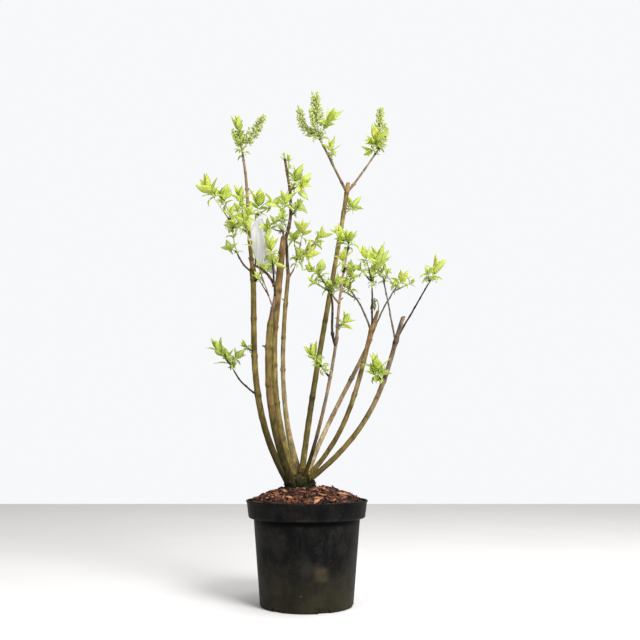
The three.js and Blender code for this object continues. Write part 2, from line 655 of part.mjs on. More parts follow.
function buildLabel() {
  const limb = limbs.get(label.on);
  const ring = ringsAlong(limb.curve, [limb.curve.shareAt(label.at)], limb.radiusAt)[0];
  const girth = ring.radius + clear + label.band.thick;
  const waistWidth = label.width * label.waist;
  const offset = girth - label.band.lap + waistWidth / 2;
  const middle = ring.point.clone().add(new THREE.Vector3(offset, 0, 0));
  const strip = new THREE.BoxGeometry(1, 1, label.thick, 1, label.rows, 1);
  moveVertices(strip, (local) => {
    const climb = local.y + 0.5;
    const height = THREE.MathUtils.lerp(-label.below, label.above, climb);
    const turn = THREE.MathUtils.degToRad(label.turn) * Math.max(0, -height / label.below);
    const ends = Math.min(1, label.ends.width + label.ends.widening * Math.min(climb, 1 - climb));
    const pinch = 1 - (1 - label.waist) * Math.exp(-((height / label.waistReach) ** 2));
    const across = label.width * ends * pinch * local.x;
    const toRight = across * Math.cos(turn) - local.z * Math.sin(turn);
    const toBack = -across * Math.sin(turn) - local.z * Math.cos(turn);
    return middle.clone().add(new THREE.Vector3(
      label.lean * height + label.bow[0] * height ** 2 + toRight,
      label.bow[1] * height ** 2 + toBack,
      height,
    ));
  });
  const half = ring.along.clone().setLength(label.band.height / 2);
  const hoop = new THREE.LineCurve3(ring.point.clone().sub(half), ring.point.clone().add(half));
  const band = rod(ringsAlong(hoop, [0, 1], () => girth), label.band.sides);
  return mainBody(solid(strip).add(band).subtract(limb.sleeve));
}

// ---------------------------------------------------------------- scene graph

const colours = {
  pot: { color: 0x23272a, roughness: 0.55 },
  soil: { color: 0x6b4534, roughness: 0.95 },
  crown: { color: 0x3d3a2a, roughness: 0.95 },
  cane: { color: 0x8a7a48, roughness: 0.8 },
  bough: { color: 0x6d5744, roughness: 0.8 },
  foliage: { color: 0xa6c63c, roughness: 0.6 },
  label: { color: 0xeceaea, roughness: 0.4 },
};

function named(name, body, finish) {
  const material = new THREE.MeshStandardMaterial({ ...finish, metalness: 0 });
  const mesh = new THREE.Mesh(toGeometry(body), material);
  mesh.name = name;
  return mesh;
}

const container = new THREE.Group();
container.add(named('pot', buildPot(), colours.pot));
container.add(named('potting_soil', buildSoil(), colours.soil));

const plant = new THREE.Group();
const caneLimbs = canes.map(buildCane);
plant.add(named('root_crown', buildCrown(caneLimbs), colours.crown));
const boughLimbs = boughs.map(buildBough);
for (const limb of [...caneLimbs, ...boughLimbs]) {
  takeRod(limb.name, limb.rings);
}
for (const limb of caneLimbs) {
  plant.add(named(limb.name, limb.body, colours.cane));
}
for (const limb of boughLimbs) {
  plant.add(named(limb.name, limb.body, colours.bough));
}
const labelBody = buildLabel();
masses.forEach((spec, index) => {
  plant.add(named(spec.name, buildMass(spec, index).body, colours.foliage));
});
plant.add(named('plant_label', labelBody, colours.label));

const lilacBush = new THREE.Group();
lilacBush.add(container, plant);

export default lilacBush;
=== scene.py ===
# A potted lilac bush in early spring: canes with bark and buds, tufts of new leaves, green flower
# panicles, bark mulch and a worn nursery pot. Tables are in millimetres, finished pieces in metres.

from math import cos, exp, hypot, pi, radians, sin

import bmesh
import bpy
from mathutils import Matrix, Vector, noise
from mathutils.kdtree import KDTree


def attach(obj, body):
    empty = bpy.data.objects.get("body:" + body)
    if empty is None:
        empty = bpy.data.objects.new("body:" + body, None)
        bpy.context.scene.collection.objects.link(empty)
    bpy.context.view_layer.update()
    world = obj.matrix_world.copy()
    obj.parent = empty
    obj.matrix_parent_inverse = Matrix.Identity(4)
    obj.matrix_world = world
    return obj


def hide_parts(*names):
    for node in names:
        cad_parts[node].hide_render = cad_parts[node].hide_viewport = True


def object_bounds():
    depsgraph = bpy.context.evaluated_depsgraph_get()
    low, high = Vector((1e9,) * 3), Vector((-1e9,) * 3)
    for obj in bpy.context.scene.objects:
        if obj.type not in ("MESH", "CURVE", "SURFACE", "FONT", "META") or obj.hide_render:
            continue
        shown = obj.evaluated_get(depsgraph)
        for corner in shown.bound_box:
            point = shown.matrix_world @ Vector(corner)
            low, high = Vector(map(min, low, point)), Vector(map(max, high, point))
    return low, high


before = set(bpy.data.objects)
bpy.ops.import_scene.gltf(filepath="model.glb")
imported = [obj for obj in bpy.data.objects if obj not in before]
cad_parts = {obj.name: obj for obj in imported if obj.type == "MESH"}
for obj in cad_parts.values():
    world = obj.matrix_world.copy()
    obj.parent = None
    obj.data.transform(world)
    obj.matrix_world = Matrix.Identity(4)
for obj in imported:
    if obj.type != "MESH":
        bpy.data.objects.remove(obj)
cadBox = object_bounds()
mm = 0.001
scene = bpy.context.scene
bendSeed = 7
noise.seed_set(bendSeed)
print("frame loaded:", len(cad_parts), "nodes")


def newPiece(name, data):
    piece = bpy.data.objects.new(name, data)
    scene.collection.objects.link(piece)
    return piece


def meshOf(name, points, faces=(), edges=(), smooth=True):
    mesh = bpy.data.meshes.new(name)
    mesh.from_pydata([Vector(point) * mm for point in points], edges, faces)
    if smooth:
        mesh.shade_smooth()
    return mesh


def bakeModifiers(piece):
    graph = bpy.context.evaluated_depsgraph_get()
    mesh = bpy.data.meshes.new_from_object(
        piece.evaluated_get(graph), preserve_all_data_layers=True, depsgraph=graph)
    piece.modifiers.clear()
    return mesh


def storeValues(mesh, name, kind, values):
    width = {"FLOAT_VECTOR": "vector", "FLOAT_COLOR": "color"}.get(kind, "value")
    layer = mesh.attributes.new(name, kind, "POINT")
    flat = [part for value in values for part in value] if kind.startswith("FLOAT_") else values
    layer.data.foreach_set(width, flat)


def dress(piece, material, slot, *nodes):
    if material:
        piece.data.materials.clear()
        piece.data.materials.append(material)
    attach(piece, "root")
    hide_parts(*nodes)
    return piece


def seededDraws(seed):
    state = [seed & 0xffffffff]

    def times(a, b):
        return (a * b) & 0xffffffff

    def draw():
        state[0] = (state[0] + 0x6d2b79f5) & 0xffffffff
        mixed = times(state[0] ^ (state[0] >> 15), state[0] | 1)
        mixed ^= (mixed + times(mixed ^ (mixed >> 7), mixed | 61)) & 0xffffffff
        return ((mixed ^ (mixed >> 14)) & 0xffffffff) / 4294967296

    return draw


def lerp(a, b, share):
    return a + (b - a) * share


def clamp(value, least=0, most=1):
    return min(most, max(least, value))


def evenShares(count):
    return [k / count for k in range(count + 1)]


def bell(away, reach):
    return exp(-(away / reach) ** 2)


def roughness(place, layers, drift=Vector()):
    # every layer has a strength and a pace
    return sum(strength * noise.noise(place * pace + drift) for strength, pace in layers)


def streak(place, across, along, drift=Vector()):
    return noise.noise(Vector((place.x * across, place.y * across, place.z * along)) + drift)


def roundPoint(radius, turn, height):
    return Vector((radius * cos(turn), radius * sin(turn), height))


def ringPoints(radius, height, sides):
    return [roundPoint(radius, 2 * pi * k / sides, height) for k in range(sides)]


def ringFaces(rows, sides):
    # joins closed rings of points that follow one another
    return [(row * sides + k, (row + 1) * sides + k, (row + 1) * sides + (k + 1) % sides,
             row * sides + (k + 1) % sides) for row in range(rows) for k in range(sides)]


def endFaces(count, sides):
    return [tuple(range(sides)), tuple(reversed(range(count - sides, count)))]


def turnedMesh(name, profile, sides):
    # a profile that starts and ends on the axis, outside first
    points, rows = [Vector((0, 0, profile[0][1]))], len(profile) - 2
    for radius, height in profile[1:-1]:
        points += ringPoints(radius, height, sides)
    points.append(Vector((0, 0, profile[-1][1])))
    last = len(points) - 1
    faces = [tuple(1 + corner for corner in reversed(face)) for face in ringFaces(rows - 1, sides)]
    for k in range(sides):
        after = (k + 1) % sides
        faces += [(0, 1 + after, 1 + k), (last, last - sides + k, last - sides + after)]
    return meshOf(name, points, faces)


def feed(tree, socket, value):
    if isinstance(value, bpy.types.NodeSocket):
        tree.links.new(value, socket)
    elif isinstance(value, (tuple, list)) and socket.type == "RGBA" and len(value) == 3:
        socket.default_value = (*value, 1)
    else:
        socket.default_value = value


def addNode(tree, kind, inputs=None, **settings):
    node = tree.nodes.new(kind)
    for name, value in settings.items():
        setattr(node, name, value)
    for name, value in (inputs or {}).items():
        feed(tree, node.inputs[name], value)
    return node


def newMaterial(name, **constants):
    material = bpy.data.materials.new(name)
    material.use_nodes = True
    shader = material.node_tree.nodes["Principled BSDF"]
    for socket, value in constants.items():
        feed(material.node_tree, shader.inputs[socket.replace("_", " ")], value)
    return material, material.node_tree, shader


def paint(tree, shader, colour, socket="Base Color"):
    tree.links.new(colour, shader.inputs[socket])
    return colour


def objectPlace(tree):
    return addNode(tree, "ShaderNodeTexCoord").outputs["Object"]


def objectNoise(tree, scale, stretch=(1, 1, 1), detail=4, roughness=0.55):
    turned = addNode(tree, "ShaderNodeMapping", {"Vector": objectPlace(tree), "Scale": stretch})
    return addNode(tree, "ShaderNodeTexNoise", {
        "Vector": turned.outputs["Vector"], "Scale": scale, "Detail": detail, "Roughness": roughness,
    }).outputs["Fac"]


def splitParts(tree, vector):
    return addNode(tree, "ShaderNodeSeparateXYZ", {"Vector": vector}).outputs


def joinParts(tree, *parts):
    return addNode(tree, "ShaderNodeCombineXYZ", dict(enumerate(parts))).outputs[0]


def maths(tree, operation, *values):
    return addNode(tree, "ShaderNodeMath", dict(enumerate(values)), operation=operation).outputs[0]


def mapRange(tree, value, fromMin, fromMax, toMin=0.0, toMax=1.0):
    return addNode(tree, "ShaderNodeMapRange", {
        "Value": value, "From Min": fromMin, "From Max": fromMax, "To Min": toMin, "To Max": toMax,
    }).outputs["Result"]


def ramp(tree, factor, *stops):
    # a stop is a place and a colour, or a place and a level of grey
    bar = addNode(tree, "ShaderNodeValToRGB", {"Fac": factor})
    parts = bar.color_ramp.elements
    for k, (place, colour) in enumerate((stops[0], stops[-1], *stops[1:-1])):
        part = parts[k] if k < 2 else parts.new(place)
        part.position = place
        part.color = (*colour, 1) if isinstance(colour, tuple) else (colour, colour, colour, 1)
    return bar.outputs["Color"]


def mixColours(tree, share, first, second, blend="MIX"):
    node = addNode(tree, "ShaderNodeMix", data_type="RGBA", blend_type=blend)
    for place, value in ((0, share), (6, first), (7, second)):
        feed(tree, node.inputs[place], value)
    return node.outputs[2]


def multiply(tree, first, second):
    return mixColours(tree, 1.0, first, second, "MULTIPLY")


def shadedTint(tree, shade, *stops):
    tint = addNode(tree, "ShaderNodeAttribute", attribute_name="barkTint").outputs["Color"]
    return multiply(tree, tint, ramp(tree, shade, *stops))


def letThrough(tree, shader, colour, share):
    # light passes through the share
    glow = addNode(tree, "ShaderNodeBsdfTranslucent", {"Color": colour}).outputs["BSDF"]
    blend = addNode(tree, "ShaderNodeMixShader", {0: share, 1: shader.outputs["BSDF"], 2: glow})
    tree.links.new(blend.outputs["Shader"], tree.nodes["Material Output"].inputs["Surface"])


def addBump(tree, shader, height, strength, distance):
    bump = addNode(tree, "ShaderNodeBump", {
        "Height": height, "Strength": strength, "Distance": distance * mm,
    })
    tree.links.new(bump.outputs["Normal"], shader.inputs["Normal"])


def cloudyFinish(name, dark, pale, scale=150, stops=(0.35, 0.65), bump=(0.2, 0.3), through=0, detail=4,
                 stretch=(1, 1, 1), **constants):
    # drifts from a dark to a pale colour, with a relief and light let through where they are given
    material, tree, shader = newMaterial(name, **constants)
    cloud = objectNoise(tree, scale, stretch, detail)
    colour = paint(tree, shader, ramp(tree, cloud, (stops[0], dark), (stops[1], pale)))
    if bump:
        addBump(tree, shader, cloud, *bump)
    if through:
        letThrough(tree, shader, colour, through)
    return material


def newTree(name, inputs):
    tree = bpy.data.node_groups.new(name, "GeometryNodeTree")
    for label, kind in {"Geometry": "Geometry", **inputs}.items():
        tree.interface.new_socket(name=label, in_out="INPUT", socket_type="NodeSocket" + kind)
    tree.interface.new_socket(name="Geometry", in_out="OUTPUT", socket_type="NodeSocketGeometry")
    return tree, tree.nodes.new("NodeGroupInput").outputs


def geometryStep(tree, kind, **inputs):
    # the main output of a geometry node that is fed by name
    named = {name.replace("_", " "): value for name, value in inputs.items()}
    return addNode(tree, "GeometryNode" + kind, named).outputs[0]


def endTree(tree, geometry, material):
    realized = geometryStep(tree, "RealizeInstances", Geometry=geometry)
    painted = geometryStep(tree, "SetMaterial", Geometry=realized, Material=material)
    addNode(tree, "NodeGroupOutput", {"Geometry": painted})
    return tree


def runTree(name, host, tree, values):
    modifier = host.modifiers.new(tree.name, "NODES")
    modifier.node_group = tree
    for item in tree.interface.items_tree:
        if item.in_out == "INPUT" and item.name in values:
            modifier[item.identifier] = values[item.name]
    mesh = bakeModifiers(host)
    mesh.name = name
    bpy.data.objects.remove(host)
    return newPiece(name, mesh)


def growFrom(name, points, edges, tree, values, **layers):
    # runs a tree on points that carry values
    mesh = meshOf(name, points, edges=edges)
    for layer, (kind, carried) in layers.items():
        storeValues(mesh, layer, kind, carried)
    return runTree(name, newPiece(name + "Points", mesh), tree, values)


def namedValue(tree, name, kind):
    node = addNode(tree, "GeometryNodeInputNamedAttribute", {"Name": name}, data_type=kind)
    return node.outputs["Attribute"]


def randomBetween(tree, kind, least, most, seed=None):
    # the sockets of plain numbers come after those of vectors
    first = 0 if kind == "FLOAT_VECTOR" else 2
    node = addNode(tree, "FunctionNodeRandomValue", data_type=kind)
    feed(tree, node.inputs[first], least)
    feed(tree, node.inputs[first + 1], most)
    if seed:
        feed(tree, node.inputs["Seed"], seed)
    return node.outputs[first // 2]


def shapeCollection(name, meshes):
    shapes = bpy.data.collections.new(name)
    for k, mesh in enumerate(meshes):
        shapes.objects.link(bpy.data.objects.new(f"{name}{k}", mesh))
    return shapes


def placeShapes(tree, shapes, points, **more):
    picked = geometryStep(
        tree, "CollectionInfo", Collection=shapes, Separate_Children=True, Reset_Children=True)
    return geometryStep(
        tree, "InstanceOnPoints", Points=points, Instance=picked, Pick_Instance=True, **more)


def asRotation(tree, angles):
    return addNode(tree, "FunctionNodeEulerToRotation", {"Euler": angles}).outputs["Rotation"]


def makePlacedTree():
    # puts a chosen shape on every point, turned and sized by the point's own values
    tree, given = newTree("placedShapes", {"Shapes": "Collection", "Finish": "Material"})
    turn, size = namedValue(tree, "turn", "FLOAT_VECTOR"), namedValue(tree, "size", "FLOAT_VECTOR")
    placed = placeShapes(
        tree, given["Shapes"], given["Geometry"], Instance_Index=namedValue(tree, "kind", "INT"),
        Rotation=asRotation(tree, turn), Scale=size)
    return endTree(tree, placed, given["Finish"])


def makeRodTree():
    # turns lines with a radius at every point into round, capped rods
    tree, given = newTree("rodsFromLines", {"Sides": "Int", "Finish": "Material"})
    lines = geometryStep(tree, "MeshToCurve", Mesh=given["Geometry"])
    circle = geometryStep(tree, "CurvePrimitiveCircle", Resolution=given["Sides"], Radius=1.0)
    girth = namedValue(tree, "girth", "FLOAT")
    rods = geometryStep(
        tree, "CurveToMesh", Curve=lines, Profile_Curve=circle, Scale=girth, Fill_Caps=True)
    soft = geometryStep(tree, "SetShadeSmooth", Geometry=rods, Shade_Smooth=True)
    return endTree(tree, soft, given["Finish"])


def makeScatterTree():
    # strews shapes over a surface, each lying on it with a random turn, tilt, size and lift
    tree, given = newTree("strewnShapes", {
        "Shapes": "Collection", "Finish": "Material", "Density": "Float", "Seed": "Int",
        "Tilt": "Float", "Smallest": "Float", "Largest": "Float", "Lowest": "Float", "Highest": "Float",
    })
    seed, tilt = given["Seed"], given["Tilt"]
    spread = addNode(tree, "GeometryNodeDistributePointsOnFaces", {
        "Mesh": given["Geometry"], "Density": given["Density"], "Seed": seed,
    })
    back = maths(tree, "MULTIPLY", tilt, -1.0)
    least, most = joinParts(tree, back, back, -pi), joinParts(tree, tilt, tilt, pi)
    angles = randomBetween(tree, "FLOAT_VECTOR", least, most, seed)
    turned = addNode(tree, "FunctionNodeRotateRotation", {
        "Rotation": spread.outputs["Rotation"], "Rotate By": asRotation(tree, angles),
    }, rotation_space="LOCAL")
    size = randomBetween(tree, "FLOAT", given["Smallest"], given["Largest"], seed)
    placed = placeShapes(
        tree, given["Shapes"], spread.outputs["Points"], Rotation=turned.outputs["Rotation"], Scale=size)
    rise = randomBetween(tree, "FLOAT", given["Lowest"], given["Highest"])
    lifted = geometryStep(
        tree, "TranslateInstances", Instances=placed, Translation=joinParts(tree, 0.0, 0.0, rise))
    return endTree(tree, lifted, given["Finish"])


placedTree = makePlacedTree()
rodTree = makeRodTree()
scatterTree = makeScatterTree()


class Spots:
    # points that each carry a turn, a size and the number of a shape

    def __init__(self):
        self.points, self.turns, self.sizes, self.kinds = [], [], [], []

    def add(self, point, along, upper, size, kind=0):
        side = along.cross(upper).normalized()
        face = side.cross(along).normalized()
        self.points.append(point)
        self.turns.append(tuple(Matrix((side, along, face)).transposed().to_euler("XYZ")))
        self.sizes.append(size)
        self.kinds.append(kind)

    def grow(self, name, shapes, material):
        return growFrom(
            name, self.points, (), placedTree, {"Shapes": shapes, "Finish": material},
            turn=("FLOAT_VECTOR", self.turns), size=("FLOAT_VECTOR", self.sizes), kind=("INT", self.kinds))


class Lines:
    # lines of points that each carry a radius and a colour

    def __init__(self):
        self.points, self.edges, self.girths, self.tints = [], [], [], []

    def add(self, points, girths, tints):
        first = len(self.points)
        self.points.extend(points)
        self.girths.extend(girth * mm for girth in girths)
        self.tints.extend((*tint, 1) for tint in tints)
        self.edges.extend((first + k, first + k + 1) for k in range(len(points) - 1))

    def follow(self, curve, girths, tint, count=4):
        # radii for both ends, or one for each point
        shares = evenShares(count)
        if len(girths) == 2:
            girths = [lerp(*girths, share) for share in shares]
        self.add([curve.pointAt(share) for share in shares], girths, [tint] * (count + 1))

    def grow(self, name, sides, material):
        return growFrom(
            name, self.points, self.edges, rodTree, {"Sides": sides, "Finish": material},
            girth=("FLOAT", self.girths), barkTint=("FLOAT_COLOR", self.tints))


viewpoint = {"place": (30, -1885, 363), "pitch": 8.7, "lens": 45.0, "sensor": 36.0}
studio = {
    "floorSize": 6.0, "floor": (0.82, 0.81, 0.80), "floorShade": 0.97, "wall": (0.955, 0.96, 0.975),
    "wallGlow": 0.98, "left": (0.18, 0.18, 0.19), "right": (0.74, 0.73, 0.70), "wallEdge": (0.42, 0.76),
    # name, place, height aimed at, size and power
    "lamps": (
        ("keyLamp", (1.6, -2.3, 2.5), 0.7, 1.5, 140),
        ("fillLamp", (-1.7, -2.3, 1.6), 0.6, 1.8, 10),
        ("topLamp", (0.4, -0.3, 3.2), 0.4, 1.6, 34),
    ),
}


def addCamera():
    camera = bpy.data.cameras.new("viewCamera")
    camera.lens = viewpoint["lens"]
    camera.sensor_width = viewpoint["sensor"]
    scene.camera = newPiece("viewCamera", camera)
    scene.camera.location = Vector(viewpoint["place"]) * mm
    scene.camera.rotation_euler = (radians(90 + viewpoint["pitch"]), 0, 0)


def addLamps():
    for name, place, aimHeight, size, power in studio["lamps"]:
        lamp = bpy.data.lights.new(name, "AREA")
        lamp.shape = "DISK"
        lamp.size = size
        lamp.energy = power
        holder = newPiece(name, lamp)
        holder.location = place
        aim = Vector((0, 0, aimHeight)) - holder.location
        holder.rotation_euler = aim.to_track_quat("-Z", "Y").to_euler()


def addSky():
    # the wall behind the bush is bright, and the room is dimmest on its left
    world = bpy.data.worlds.new("studioSky")
    world.use_nodes = True
    tree = world.node_tree
    parts = splitParts(tree, addNode(tree, "ShaderNodeTexCoord").outputs["Generated"])
    wall = tuple(part * studio["wallGlow"] for part in studio["wall"])
    room = mixColours(tree, mapRange(tree, parts["X"], -1.0, 1.0), studio["left"], studio["right"])
    nearEdge, farEdge = studio["wallEdge"]
    share = ramp(tree, parts["Y"], (nearEdge, 0), (farEdge, 1))
    paint(tree, tree.nodes["Background"], mixColours(tree, share, room, wall), "Color")
    scene.world = world
    scene.view_settings.view_transform = "Standard"


def addFloor():
    half = studio["floorSize"] / 2 / mm
    corners = [(-half, -half, 0), (half, -half, 0), (half, half, 0), (-half, half, 0)]
    floor = newPiece("paleFloor", meshOf("paleFloor", corners, [(0, 1, 2, 3)]))
    darker = tuple(part * studio["floorShade"] for part in studio["floor"])
    floor.data.materials.append(cloudyFinish(
        "palePlaster", darker, studio["floor"], 3.0, (0.3, 0.7), bump=None, Roughness=0.85))


addCamera()
addLamps()
addSky()
addFloor()
print("camera, lamps and floor are set")


pot = {
    "height": 233, "baseRadius": 105.5, "shoulderRadius": 122, "bandRadius": 133.5, "rimRadius": 140,
    "bandHeight": 40, "wall": 2.2, "floor": 3, "sides": 144, "chamfer": 3, "bandCurve": 5,
    "bead": 1.2, "beadHeight": 4, "sharpFrom": 35,
    "levels": (40, 80, 120, 160), "innerLevels": (140, 90, 40),
    "notches": {"count": 6, "first": -38, "width": 25, "height": 9, "depth": 14, "curve": 5},
    "black": (0.0034, 0.0034, 0.0038), "dust": (0.034, 0.032, 0.026), "earth": (0.036, 0.031, 0.016),
    "splash": (115, 1.05), "fleck": (0.085, 0.08, 0.07), "gloss": 0.045,
    "stain": {"middle": (35, 81), "half": 10, "fade": 9, "colour": (0.040, 0.032, 0.020)},
    # painted shade and light, as levels of brightness from 25 mm under the band's foot to 25 mm over it: a
    # painted shadow under the band, then a lighter line along the band's lower lip
    "bandShadowAndLip": ((0.22, 1.1), (0.3, 0.5), (0.36, 0.05), (0.5, 0.02), (0.56, 1.5), (0.66, 0.85)),
}
bandFoot = pot["height"] - pot["bandHeight"]


def arc(centre, radius, start, end, count=5):
    angles = [radians(lerp(start, end, share)) for share in evenShares(count)]
    return [(centre[0] + radius * cos(a), centre[1] + radius * sin(a)) for a in angles]


def bodyRadius(height):
    return lerp(pot["baseRadius"], pot["shoulderRadius"], height / bandFoot)


def bandRadiusAt(height):
    return lerp(pot["bandRadius"], pot["rimRadius"] - pot["bead"], (height - bandFoot) / pot["bandHeight"])


def potProfile():
    chamfer, wall, curve, floor = pot["chamfer"], pot["wall"], pot["bandCurve"], pot["floor"]
    top, bead = pot["height"], pot["beadHeight"]
    under = bandRadiusAt(bandFoot + curve)
    inner = bandFoot + wall
    beadMiddle = (pot["rimRadius"] - bead / 2, top - bead / 2)
    return [
        (0, 0),
        (pot["baseRadius"] - chamfer, 0),
        (bodyRadius(chamfer) - 0.9, 0.9),
        *[(bodyRadius(height), height) for height in (chamfer, *pot["levels"], bandFoot - 3, bandFoot)],
        *arc((under - curve, bandFoot + curve), curve, -90, 0),
        *[(bandRadiusAt(height), height) for height in (bandFoot + 20, top - bead - 1.5)],
        (pot["rimRadius"] - 0.35, top - bead),
        *arc(beadMiddle, bead / 2, -20, 160),
        (bandRadiusAt(top - bead) - wall, top - bead - 1),
        (bandRadiusAt(inner + curve) - wall, inner + curve),
        *arc((under - curve - wall, inner + curve), curve, 0, -90, 3),
        (bodyRadius(inner) - wall - 1, inner - 2),
        *[(bodyRadius(height) - wall, height) for height in (*pot["innerLevels"], floor)],
        (0, floor),
    ]


def notchCutter():
    # blocks with rounded upper corners, set across the foot of the wall
    row = pot["notches"]
    half, curve = row["width"] / 2, row["curve"]
    upper = row["height"] - curve
    outline = [(-half, -row["height"]), (half, -row["height"])]
    outline += arc((half - curve, upper), curve, 0, 90, 4)
    outline += arc((curve - half, upper), curve, 90, 180, 4)
    points, faces, count = [], [], len(outline)
    for k in range(row["count"]):
        turn = Matrix.Rotation(radians(row["first"] + 360 * k / row["count"]), 3, "Z")
        block = endFaces(2 * count, count) + ringFaces(1, count)
        faces += [tuple(len(points) + corner for corner in face) for face in block]
        for reach in (-row["depth"] / 2, row["depth"] / 2):
            points += [turn @ Vector((x, reach - pot["baseRadius"], z)) for x, z in outline]
    return newPiece("notchCutter", meshOf("notchCutter", points, faces, smooth=False))


def stainShare(tree, parts, clouds):
    # the mark that an old sticker left on the front
    stain = pot["stain"]
    share = maths(tree, "LESS_THAN", parts["Y"], 0.0)
    for axis, middle in zip("XZ", stain["middle"]):
        away = maths(tree, "ABSOLUTE", maths(tree, "SUBTRACT", parts[axis], middle * mm))
        near = mapRange(tree, away, stain["half"] * mm, (stain["half"] + stain["fade"]) * mm, 1.0, 0.0)
        share = maths(tree, "MULTIPLY", share, near)
    return maths(tree, "MULTIPLY", share, ramp(tree, clouds, (0.42, 0.4), (0.56, 1)))


def potPlastic():
    material, tree, shader = newMaterial("wornBlackPlastic", Specular_IOR_Level=pot["gloss"])
    parts = splitParts(tree, objectPlace(tree))
    streaks = objectNoise(tree, 55, (1, 1, 0.3), 8, 0.7)
    clouds = objectNoise(tree, 17, detail=6, roughness=0.66)
    specks = objectNoise(tree, 420, detail=2)
    flecks = objectNoise(tree, 95, detail=1)
    colour = mixColours(tree, ramp(tree, streaks, (0.46, 0), (0.78, 0.36)), pot["black"], pot["dust"])
    colour = mixColours(tree, ramp(tree, clouds, (0.47, 0), (0.74, 0.5)), colour, pot["dust"])
    splashTop, splashMost = pot["splash"]
    low = mapRange(tree, parts["Z"], splashTop * mm, 0.0, 0.0, splashMost)
    colour = mixColours(tree, maths(tree, "MULTIPLY", low, clouds), colour, pot["earth"])
    dots = ramp(tree, specks, (0.66, 0), (0.74, 0.35))
    dots = maths(tree, "MAXIMUM", dots, ramp(tree, flecks, (0.73, 0), (0.78, 0.34)))
    colour = mixColours(tree, dots, colour, pot["fleck"])
    colour = mixColours(tree, stainShare(tree, parts, clouds), colour, pot["stain"]["colour"])
    # painted shadow just under the band and a lighter line on its lower lip, set by height
    overBand = maths(tree, "SUBTRACT", parts["Z"], bandFoot * mm)
    bandShadowAndLip = ramp(tree, maths(tree, "MULTIPLY_ADD", overBand, 20.0, 0.5), *pot["bandShadowAndLip"])
    paint(tree, shader, multiply(tree, colour, bandShadowAndLip))
    paint(tree, shader, ramp(tree, streaks, (0.35, 0.42), (0.75, 0.66)), "Roughness")
    addBump(tree, shader, specks, 0.12, 0.25)
    return material


def makePot():
    piece = newPiece("nurseryPot", turnedMesh("nurseryPot", potProfile(), pot["sides"]))
    cutter = notchCutter()
    cut = piece.modifiers.new("drainNotches", "BOOLEAN")
    cut.operation = "DIFFERENCE"
    cut.solver = "EXACT"
    cut.object = cutter
    piece.data = bakeModifiers(piece)
    bpy.data.objects.remove(cutter)
    piece.data.set_sharp_from_angle(angle=radians(pot["sharpFrom"]))
    dress(piece, potPlastic(), "pot_plastic", "pot")


makePot()
print("pot is made")


soil = {
    "edgeHeight": 226, "edgeGap": 0.4, "seatHeight": 258, "seatRadius": 49, "flatness": 0.6,
    "lumps": ((2.2, 0.07), (1.1, 0.22)),
    "hole": 6, "sides": 120, "rings": 34, "wallGap": 4,
    "bed": {"hole": 30, "sides": 72, "rings": 20},
    "flake": {"count": 9, "columns": 4, "length": (10, 22), "width": (3.2, 6.6), "thick": (1.1, 2.6),
              "seed": 400, "narrowing": 0.55, "bow": 0.9, "bowPace": 1.3, "ragged": (1.6, 0.7, 0.35),
              "outline": ((-0.5, -0.5), (0.5, -0.5), (0.5, 0.5), (0.0, 0.62), (-0.5, 0.5))},
    "dark": (0.022, 0.012, 0.008), "brown": (0.075, 0.036, 0.022),
}
# name, chips to a square metre, seed, tilt, sizes, lift, gap to the pot, darkest and lightest colour
chips = (
    ("redBarkChips", 10500, 3, 0.46, (0.65, 1.4), (-0.6, 3), 14, (0.045, 0.016, 0.01), (0.2, 0.075, 0.042)),
    ("darkBarkChips", 13000, 5, 0.5, (0.55, 1.2), (-0.2, 3.2), 13, (0.013, 0.007, 0.005),
     (0.055, 0.024, 0.016)),
    ("paleBarkChips", 1250, 8, 0.3, (0.7, 1.6), (1.8, 4.2), 17, (0.30, 0.12, 0.05), (0.66, 0.34, 0.17)),
    ("pinkBarkChips", 2300, 12, 0.4, (0.6, 1.25), (0.8, 3.8), 14, (0.20, 0.085, 0.06), (0.42, 0.21, 0.15)),
    ("standingChips", 420, 33, 1.3, (0.5, 0.9), (1.0, 3.5), 16, (0.03, 0.012, 0.008), (0.15, 0.06, 0.035)),
    ("barkCrumbs", 42000, 21, 0.6, (0.14, 0.34), (0.2, 2.6), 4.5, (0.02, 0.01, 0.007), (0.13, 0.055, 0.032)),
)
soilReach = bandRadiusAt(soil["edgeHeight"]) - pot["wall"] - soil["edgeGap"]


def moundPoint(reach, turn):
    share = clamp((soilReach - reach) / (soilReach - soil["seatRadius"]))
    rise = lerp(sin(share * pi / 2), share, soil["flatness"])
    place = roundPoint(reach, turn, lerp(soil["edgeHeight"], soil["seatHeight"] - 1, rise))
    place.z += roughness(place, soil["lumps"])
    return place


def moundPoints(inside, outside, rings, sides):
    return [moundPoint(lerp(inside, outside, share), 2 * pi * k / sides)
            for share in evenShares(rings) for k in range(sides)]


def chipMesh(index):
    # a torn flake of bark: a flat wedge with ragged ends
    flake, points = soil["flake"], []
    draw = seededDraws(flake["seed"] + index)
    length, width, thick = (lerp(*flake[name], draw()) for name in ("length", "width", "thick"))
    columns, outline, ragged = flake["columns"], flake["outline"], flake["ragged"]
    for column, share in enumerate(evenShares(columns)):
        narrow = 1 - flake["narrowing"] * (2 * share - 1) ** 2 * (0.5 + draw())
        bend = flake["bow"] * sin(column * flake["bowPace"] + index)
        for y, z in outline:
            points.append((
                (share - 0.5) * length + ragged[0] * (draw() - 0.5),
                y * width * narrow + bend + ragged[1] * (draw() - 0.5),
                z * thick * (0.55 + 0.6 * narrow) + ragged[2] * (draw() - 0.5) + 0.4 * bend,
            ))
    sides = len(outline)
    faces = [tuple(reversed(face)) for face in endFaces(len(points), sides) + ringFaces(columns, sides)]
    return meshOf(f"barkFlake{index}", points, faces, smooth=False)


